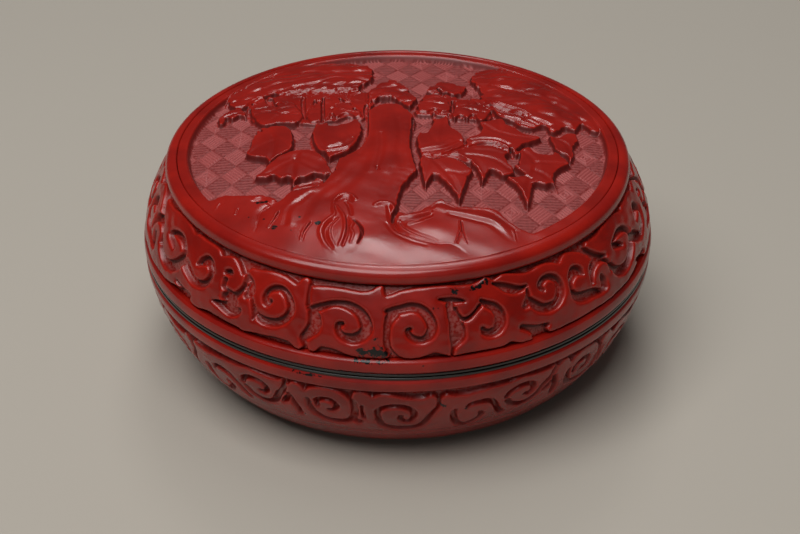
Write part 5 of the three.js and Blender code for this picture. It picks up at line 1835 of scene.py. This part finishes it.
# Grooves as (degrees from the front, mm from the seam along the wall, half width in mm), for one repeat.
LID_GROOVES = [
    [(-54.6, 10.8, 0.5), (-53.2, 10.5, 1.1), (-51.6, 9.7, 1.05), (-49.8, 8.95, 0.8), (-47.8, 8.9, 0.65),
     (-46, 9.6, 0.6), (-44.9, 10.9, 0.6), (-44.7, 12.4, 0.65), (-45.5, 13.5, 0.75), (-46.9, 13.9, 0.85),
     (-48.3, 13.3, 0.75), (-49.3, 12.4, 0.35)],
    [(-55.4, 6.2, 0.2), (-53.5, 5.7, 0.4), (-50.2, 5.4, 0.5)],
    [(-40.6, 13.8, 0.35), (-39.7, 14, 0.55), (-39, 13.9, 0.25)],
    [(-40.3, 12.3, 0.45), (-40.3, 11.5, 0.35)],
    [(-40.4, 11.1, 0.25), (-38.8, 10.5, 0.45), (-37, 10.3, 0.55), (-35.9, 11.2, 0.5), (-35.1, 12.6, 0.35),
     (-34.9, 14.4, 0.3), (-35.8, 15.8, 0.25), (-36.8, 16.9, 0.2)],
    [(-42.6, 7.4, 0.12), (-40.8, 7.5, 0.6), (-38.8, 7.3, 0.95), (-37.2, 7, 0.85), (-35.9, 7.5, 0.7),
     (-35.2, 7.9, 0.5)],
    [(-38.9, 9.3, 1.1), (-37.2, 9, 1.2)],
    [(-32.6, 11.4, 0.3), (-32, 10, 0.22), (-31.5, 8.4, 0.2), (-31.3, 7.4, 0.15)],
    [(-34.6, 14.6, 0.35), (-33.6, 13.6, 0.7), (-33.4, 12.3, 1.1), (-33.8, 11.4, 0.7)],
    [(-27.8, 11.7, 0.3), (-28.6, 11.3, 0.6), (-29.2, 12.2, 0.5), (-28.8, 13.4, 0.45), (-27.5, 14.2, 0.5),
     (-25.8, 14.4, 0.5), (-24.2, 13.6, 0.55), (-23.2, 12.3, 0.6), (-22.9, 11, 0.65), (-23.7, 9.5, 0.65),
     (-25.3, 8.3, 0.7), (-27.4, 7.8, 0.75), (-29.5, 7.9, 0.7), (-31, 8.7, 0.5), (-31.7, 9.8, 0.3)],
    [(-19.3, 17, 0.08), (-19.5, 14.6, 0.12), (-19.2, 12.6, 0.25)],
    [(-18.2, 11.8, 0.6), (-17.5, 10.4, 1.1), (-17.6, 8.7, 1.15), (-18.8, 7.3, 0.85), (-19.6, 6.4, 0.6),
     (-19.2, 5.2, 0.4), (-19, 4.3, 0.4)],
    [(-18.9, 12.1, 0.3), (-17.4, 12.4, 0.65), (-15.9, 13, 0.6), (-13.8, 13.7, 0.5), (-11.6, 13.8, 0.6),
     (-9.6, 13.4, 0.75), (-7.9, 12.5, 0.85), (-6.8, 11.1, 0.95), (-6.5, 9.6, 1), (-7.4, 8.3, 1),
     (-9.2, 7.6, 0.95), (-11.1, 7.9, 0.7), (-12.2, 8.8, 0.45), (-12.3, 9.9, 0.45), (-11.6, 10.2, 0.35)],
    [(-2.3, 13, 0.35), (-1.1, 13.1, 0.65), (0.8, 13.4, 0.75), (2.7, 13.7, 0.8), (4.5, 13.4, 0.8),
     (5.9, 12.4, 0.85), (6.8, 11, 0.85), (7, 9.6, 0.8), (6.3, 8.3, 0.75), (4.9, 7.65, 0.6), (3.5, 7.8, 0.6),
     (2.4, 8.5, 0.45), (2, 9.4, 0.4), (2.4, 9.7, 0.3)],
    [(-0.9, 12.6, 0.95), (-1.6, 11.8, 0.85), (-2.1, 10.6, 0.6), (-2.3, 9, 0.5), (-2.3, 7.2, 0.5),
     (-1.8, 5.8, 0.45), (-0.8, 4.6, 0.55)],
    [(11.1, 13.6, 0.7), (11.2, 12, 0.65), (11.9, 10.4, 1.1), (12.2, 9, 1.35), (12.2, 7.7, 1.3),
     (11.6, 6.5, 0.7), (11.1, 5.4, 0.25), (10.9, 4, 0.12)],
    [(8.9, 14.8, 0.12), (10.6, 14.6, 0.42), (12.2, 14.4, 0.45), (13.6, 14.2, 0.25), (14.2, 14, 0.12)],
    [(12.1, 12.8, 0.3), (12.5, 11.6, 0.4), (13.5, 10.75, 0.38), (14.9, 10.9, 0.3), (16.3, 11.8, 0.25),
     (17.5, 12.8, 0.3)],
    [(17.9, 13.6, 0.25), (19.1, 12.8, 0.6), (20.7, 11.9, 0.8), (21.6, 10.4, 0.95), (21.5, 8.8, 0.95),
     (20.6, 7.7, 0.85), (19.2, 7.4, 0.75), (18, 7.75, 0.55), (17.6, 8.4, 0.35)],
    [(26.3, 7, 0.4), (28, 6.3, 0.6), (29.6, 5.6, 0.85), (31.2, 5.5, 0.75), (32.4, 5.8, 0.3)],
    [(29.4, 4.7, 0.8), (31.4, 4.5, 0.75)],
    [(21.3, 16.2, 0.15), (22.8, 15.6, 0.5), (24.4, 14.8, 0.8), (26, 14.2, 0.75), (27.5, 14.1, 0.45),
     (28.7, 14.2, 0.2)],
    [(28.8, 13.5, 0.2), (28.7, 12.3, 0.4), (28.3, 11.2, 0.65), (27.5, 10.6, 0.3)],
    [(28.6, 12, 0.4), (29.8, 10.6, 0.75), (31.5, 9.4, 0.8), (33.3, 9, 0.85), (35.2, 9.2, 0.85),
     (36.6, 10.4, 0.9), (37.1, 12, 0.75), (36.5, 13.6, 0.6), (34.9, 14.4, 0.5), (33.2, 14.2, 0.5),
     (32.2, 13.3, 0.55), (32.6, 12.5, 0.35)],
    [(38.6, 16.9, 0.1), (38.5, 16.3, 0.1)],
    [(40, 10.2, 0.3), (40.1, 11.5, 0.35), (40.8, 12.7, 0.8), (42.1, 13.3, 0.95), (43.4, 12.9, 0.75),
     (44.2, 12, 0.2)],
    [(40, 10, 0.35), (40.9, 8.7, 0.75), (43, 7.9, 1), (45.6, 7.6, 0.9), (47.6, 7.1, 0.6), (49, 6.7, 0.35)],
    [(46.3, 9.4, 0.2), (46.7, 10.8, 0.45), (47.5, 12.1, 0.8), (49.3, 12.7, 0.65), (51.2, 12.4, 0.4),
     (52.5, 11.6, 0.3)],
    [(47.1, 16.2, 0.4), (48.3, 14.6, 0.7), (50.2, 13.3, 0.7), (52.6, 12.5, 0.35)],
    [(49.6, 9.5, 0.4), (49.9, 8.3, 0.85), (49.9, 7.2, 0.85)],
    [(52, 12.4, 0.2), (53, 11, 0.35), (53.4, 9.5, 0.35)],
    [(53.9, 10.2, 0.4), (54.9, 8.7, 0.75), (57, 7.6, 1), (59.6, 7.5, 1), (62, 8.4, 1.1), (63.8, 9.8, 1.05),
     (64.9, 11.4, 0.8), (64.5, 13, 0.55), (62.6, 14, 0.55), (60, 14.2, 0.5), (57.9, 13.7, 0.4),
     (57, 12.9, 0.5), (58.8, 12.3, 0.6), (60.3, 11.6, 0.3)],
]
BASE_GROOVES = [
    [(-36, 9.2, 0.4), (-35.4, 7.9, 0.5), (-33.8, 7, 0.5), (-31.8, 6.8, 0.5), (-30.1, 7.4, 0.5),
     (-29.5, 8.8, 0.5), (-30.3, 9.9, 0.4), (-31.4, 9.8, 0.3)],
    [(-35.6, 10.4, 0.4), (-34.4, 12, 0.5), (-32.4, 12.9, 0.6), (-30.2, 12.9, 0.6), (-28.4, 12, 0.6),
     (-27.3, 10.4, 0.6), (-26.4, 8.8, 0.6), (-25.2, 7.4, 0.5), (-24.6, 5.8, 0.35), (-24.4, 4.6, 0.25)],
    [(-26, 11.3, 0.2), (-25.1, 10.3, 0.6), (-24.5, 9.1, 0.3)],
    [(-24, 8, 0.4), (-23.3, 10, 0.5), (-22.6, 12, 0.5), (-22.4, 14, 0.4)],
    [(-19.6, 8.2, 0.35), (-19.4, 10, 0.5), (-18.8, 12, 0.6), (-17.3, 13.5, 0.6), (-15, 14.2, 0.6),
     (-12.6, 14.1, 0.6), (-10.6, 13.3, 0.6), (-9.6, 11.8, 0.6), (-9.3, 9.8, 0.6), (-9.4, 7.8, 0.5),
     (-9.8, 6.4, 0.3)],
    [(-17.6, 9.6, 0.35), (-17.6, 8.2, 0.45), (-16.5, 7.3, 0.45), (-15, 7.1, 0.45), (-13.7, 7.7, 0.45),
     (-13.2, 9, 0.45), (-13.9, 10.1, 0.4), (-15, 10.4, 0.3)],
    [(-9.6, 13.2, 0.7), (-8.8, 13.6, 0.7)],
    [(-7.7, 8, 0.15), (-7.8, 10, 0.2), (-7.5, 12, 0.25)],
    [(-4.3, 11.8, 0.4), (-4.5, 10, 0.45), (-3.7, 8.5, 0.5), (-2, 7.8, 0.5), (0, 7.7, 0.5), (1.9, 8.3, 0.5),
     (3.2, 9.6, 0.5), (3.4, 11.3, 0.5), (2.6, 12.6, 0.5), (1.5, 12.8, 0.5), (0.6, 12, 0.45),
     (0.5, 10.9, 0.35)],
    [(-4.4, 12.2, 0.5), (-3.6, 14.1, 0.55), (-1.9, 15.4, 0.6), (0.6, 15.8, 0.6), (3, 15.6, 0.6),
     (5, 14.6, 0.6), (6.1, 13, 0.55), (6.8, 11.3, 0.5), (7.6, 9.8, 0.4), (8.5, 8.2, 0.3), (8.6, 6.4, 0.25)],
    [(12.3, 10.2, 0.35), (12.2, 12, 0.5), (12.8, 14.2, 0.55), (14, 15.9, 0.6), (16, 16.3, 0.6),
     (17.8, 15, 0.55), (18.8, 13.4, 0.45), (18.3, 12.2, 0.3)],
    [(14.9, 9.9, 0.15), (15.6, 8.9, 0.4), (17.5, 8.6, 0.55), (19.5, 8.8, 0.6), (21, 9.9, 0.5),
     (22, 11.6, 0.45), (22.8, 13.2, 0.5), (23.8, 14.4, 0.5)],
]
# Contours of the raised scrolls as (degrees from the front, mm from the seam), for one repeat.
LID_UPPER_CONTOUR = [
    (-53, 17.3), (-50, 17.2), (-46, 17.2), (-44.3, 16.9), (-43, 16.3), (-41.6, 16.8), (-40, 17),
    (-38.2, 16.4), (-36.8, 15.3), (-36, 14.7), (-35.2, 15.6), (-34.2, 16.5), (-32, 16.7), (-29, 17.1),
    (-26, 17), (-23.6, 16.4), (-22.5, 16.2), (-21.6, 17.2), (-20.5, 17.6), (-19.6, 17.2), (-19.1, 16.3),
    (-17.5, 16.5), (-14, 16.7), (-11, 16.6), (-8, 16.4), (-6, 16.7), (-4.9, 17.3), (-4, 17.65), (-3.2, 17.5),
    (-2.7, 16), (-1.4, 16.1), (0.5, 16.7), (3, 17.1), (6, 17.3), (10, 17.3), (14, 17), (16.5, 16.9),
    (18.3, 17.3), (19.5, 17.7), (20.6, 17.5), (21.4, 16.9), (22.4, 17.2), (24, 17.6), (26.5, 17.2),
    (29, 16.7), (31, 16.7), (33, 17.1), (35, 17.1), (37, 16.7), (38.4, 16.1), (39.6, 16.7), (41, 17.2),
    (43, 17), (45, 16.3), (46.3, 15.4), (47, 14.9), (47.5, 16.2), (48.4, 17.1), (50, 16.9), (53, 17),
    (56, 17.5), (60, 17.7), (63, 17.5), (65, 17), (66.2, 16.9),
]
LID_LOWER_CONTOUR = [
    (-53, 5.3), (-50.5, 5.2), (-49.2, 4.2), (-47, 4.1), (-45, 4.5), (-43, 4.8), (-39, 4.6), (-35, 4.4),
    (-33.5, 4.2), (-31.5, 4.6), (-29, 4.8), (-26, 5.1), (-23, 5), (-21.5, 4.2), (-20.3, 4), (-19.5, 4.6),
    (-19, 4.8), (-18.3, 4.2), (-17.4, 4), (-16.7, 4.3), (-15.9, 5.1), (-14.8, 5.3), (-12.5, 5), (-10.5, 4.4),
    (-8.5, 4.05), (-5, 4), (-2.4, 4.1), (-1.4, 4.8), (-0.5, 5), (0.3, 4.5), (1.6, 4.1), (4, 4.1), (6, 4.6),
    (7.5, 4.9), (9, 4.5), (10.2, 4.1), (11, 3.95), (14, 4.1), (18, 4.15), (22, 4.2), (23.4, 4.6),
    (24.6, 4.3), (25.8, 3.9), (27.2, 3.85), (28.5, 4), (29.3, 4.9), (31.5, 5.3), (32.6, 4.3), (34, 4),
    (38, 4.1), (44, 4.1), (52, 4), (58, 4.1), (60.5, 4.3), (63, 4.8), (65, 5.2),
]
BASE_CONTOUR = [
    (-36, 4.7), (-34, 4.3), (-32, 4.3), (-30, 4.5), (-28, 4.65), (-26, 4.5), (-25, 4.1), (-24.4, 4.6),
    (-23.6, 4.9), (-22.6, 4), (-21.4, 3.9), (-20.6, 4.6), (-19.9, 5.5), (-19, 4.7), (-17.5, 4.1),
    (-15.5, 3.9), (-13.5, 4.1), (-12, 4.6), (-11, 5.4), (-10.2, 6.4), (-9.7, 5.2), (-9.3, 4.2), (-8.5, 3.8),
    (-7.5, 3.75), (-6.5, 4.1), (-5.5, 5), (-4.5, 4.6), (-3.5, 4.25), (-2.5, 4.2), (-1.5, 4.3), (0, 4.7),
    (1.5, 5.1), (3, 5.4), (4.5, 5.5), (5.7, 5.35), (6.4, 4.9), (7, 4.8), (7.6, 5), (8.1, 5.6), (8.6, 6.5),
    (9.1, 5.6), (9.8, 5), (10.5, 4.9), (11.2, 5.2), (12.5, 5.45), (14, 5.5), (16, 5.3), (18, 5.1), (20, 4.9),
    (22, 4.8), (23.4, 4.75),
]


def main() -> None:
    """Build the box and its setting."""
    logging.basicConfig(level=logging.INFO, format="%(message)s")
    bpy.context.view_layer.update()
    Studio().build()
    BoxLid().build()
    BoxBase().build()
    wood = WOOD.build()
    for node in ("lid_core", "base_core"):
        dress(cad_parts[node], wood)
        log.info("%s: kept from the solids", node)


if __name__ == "__main__":
    main()
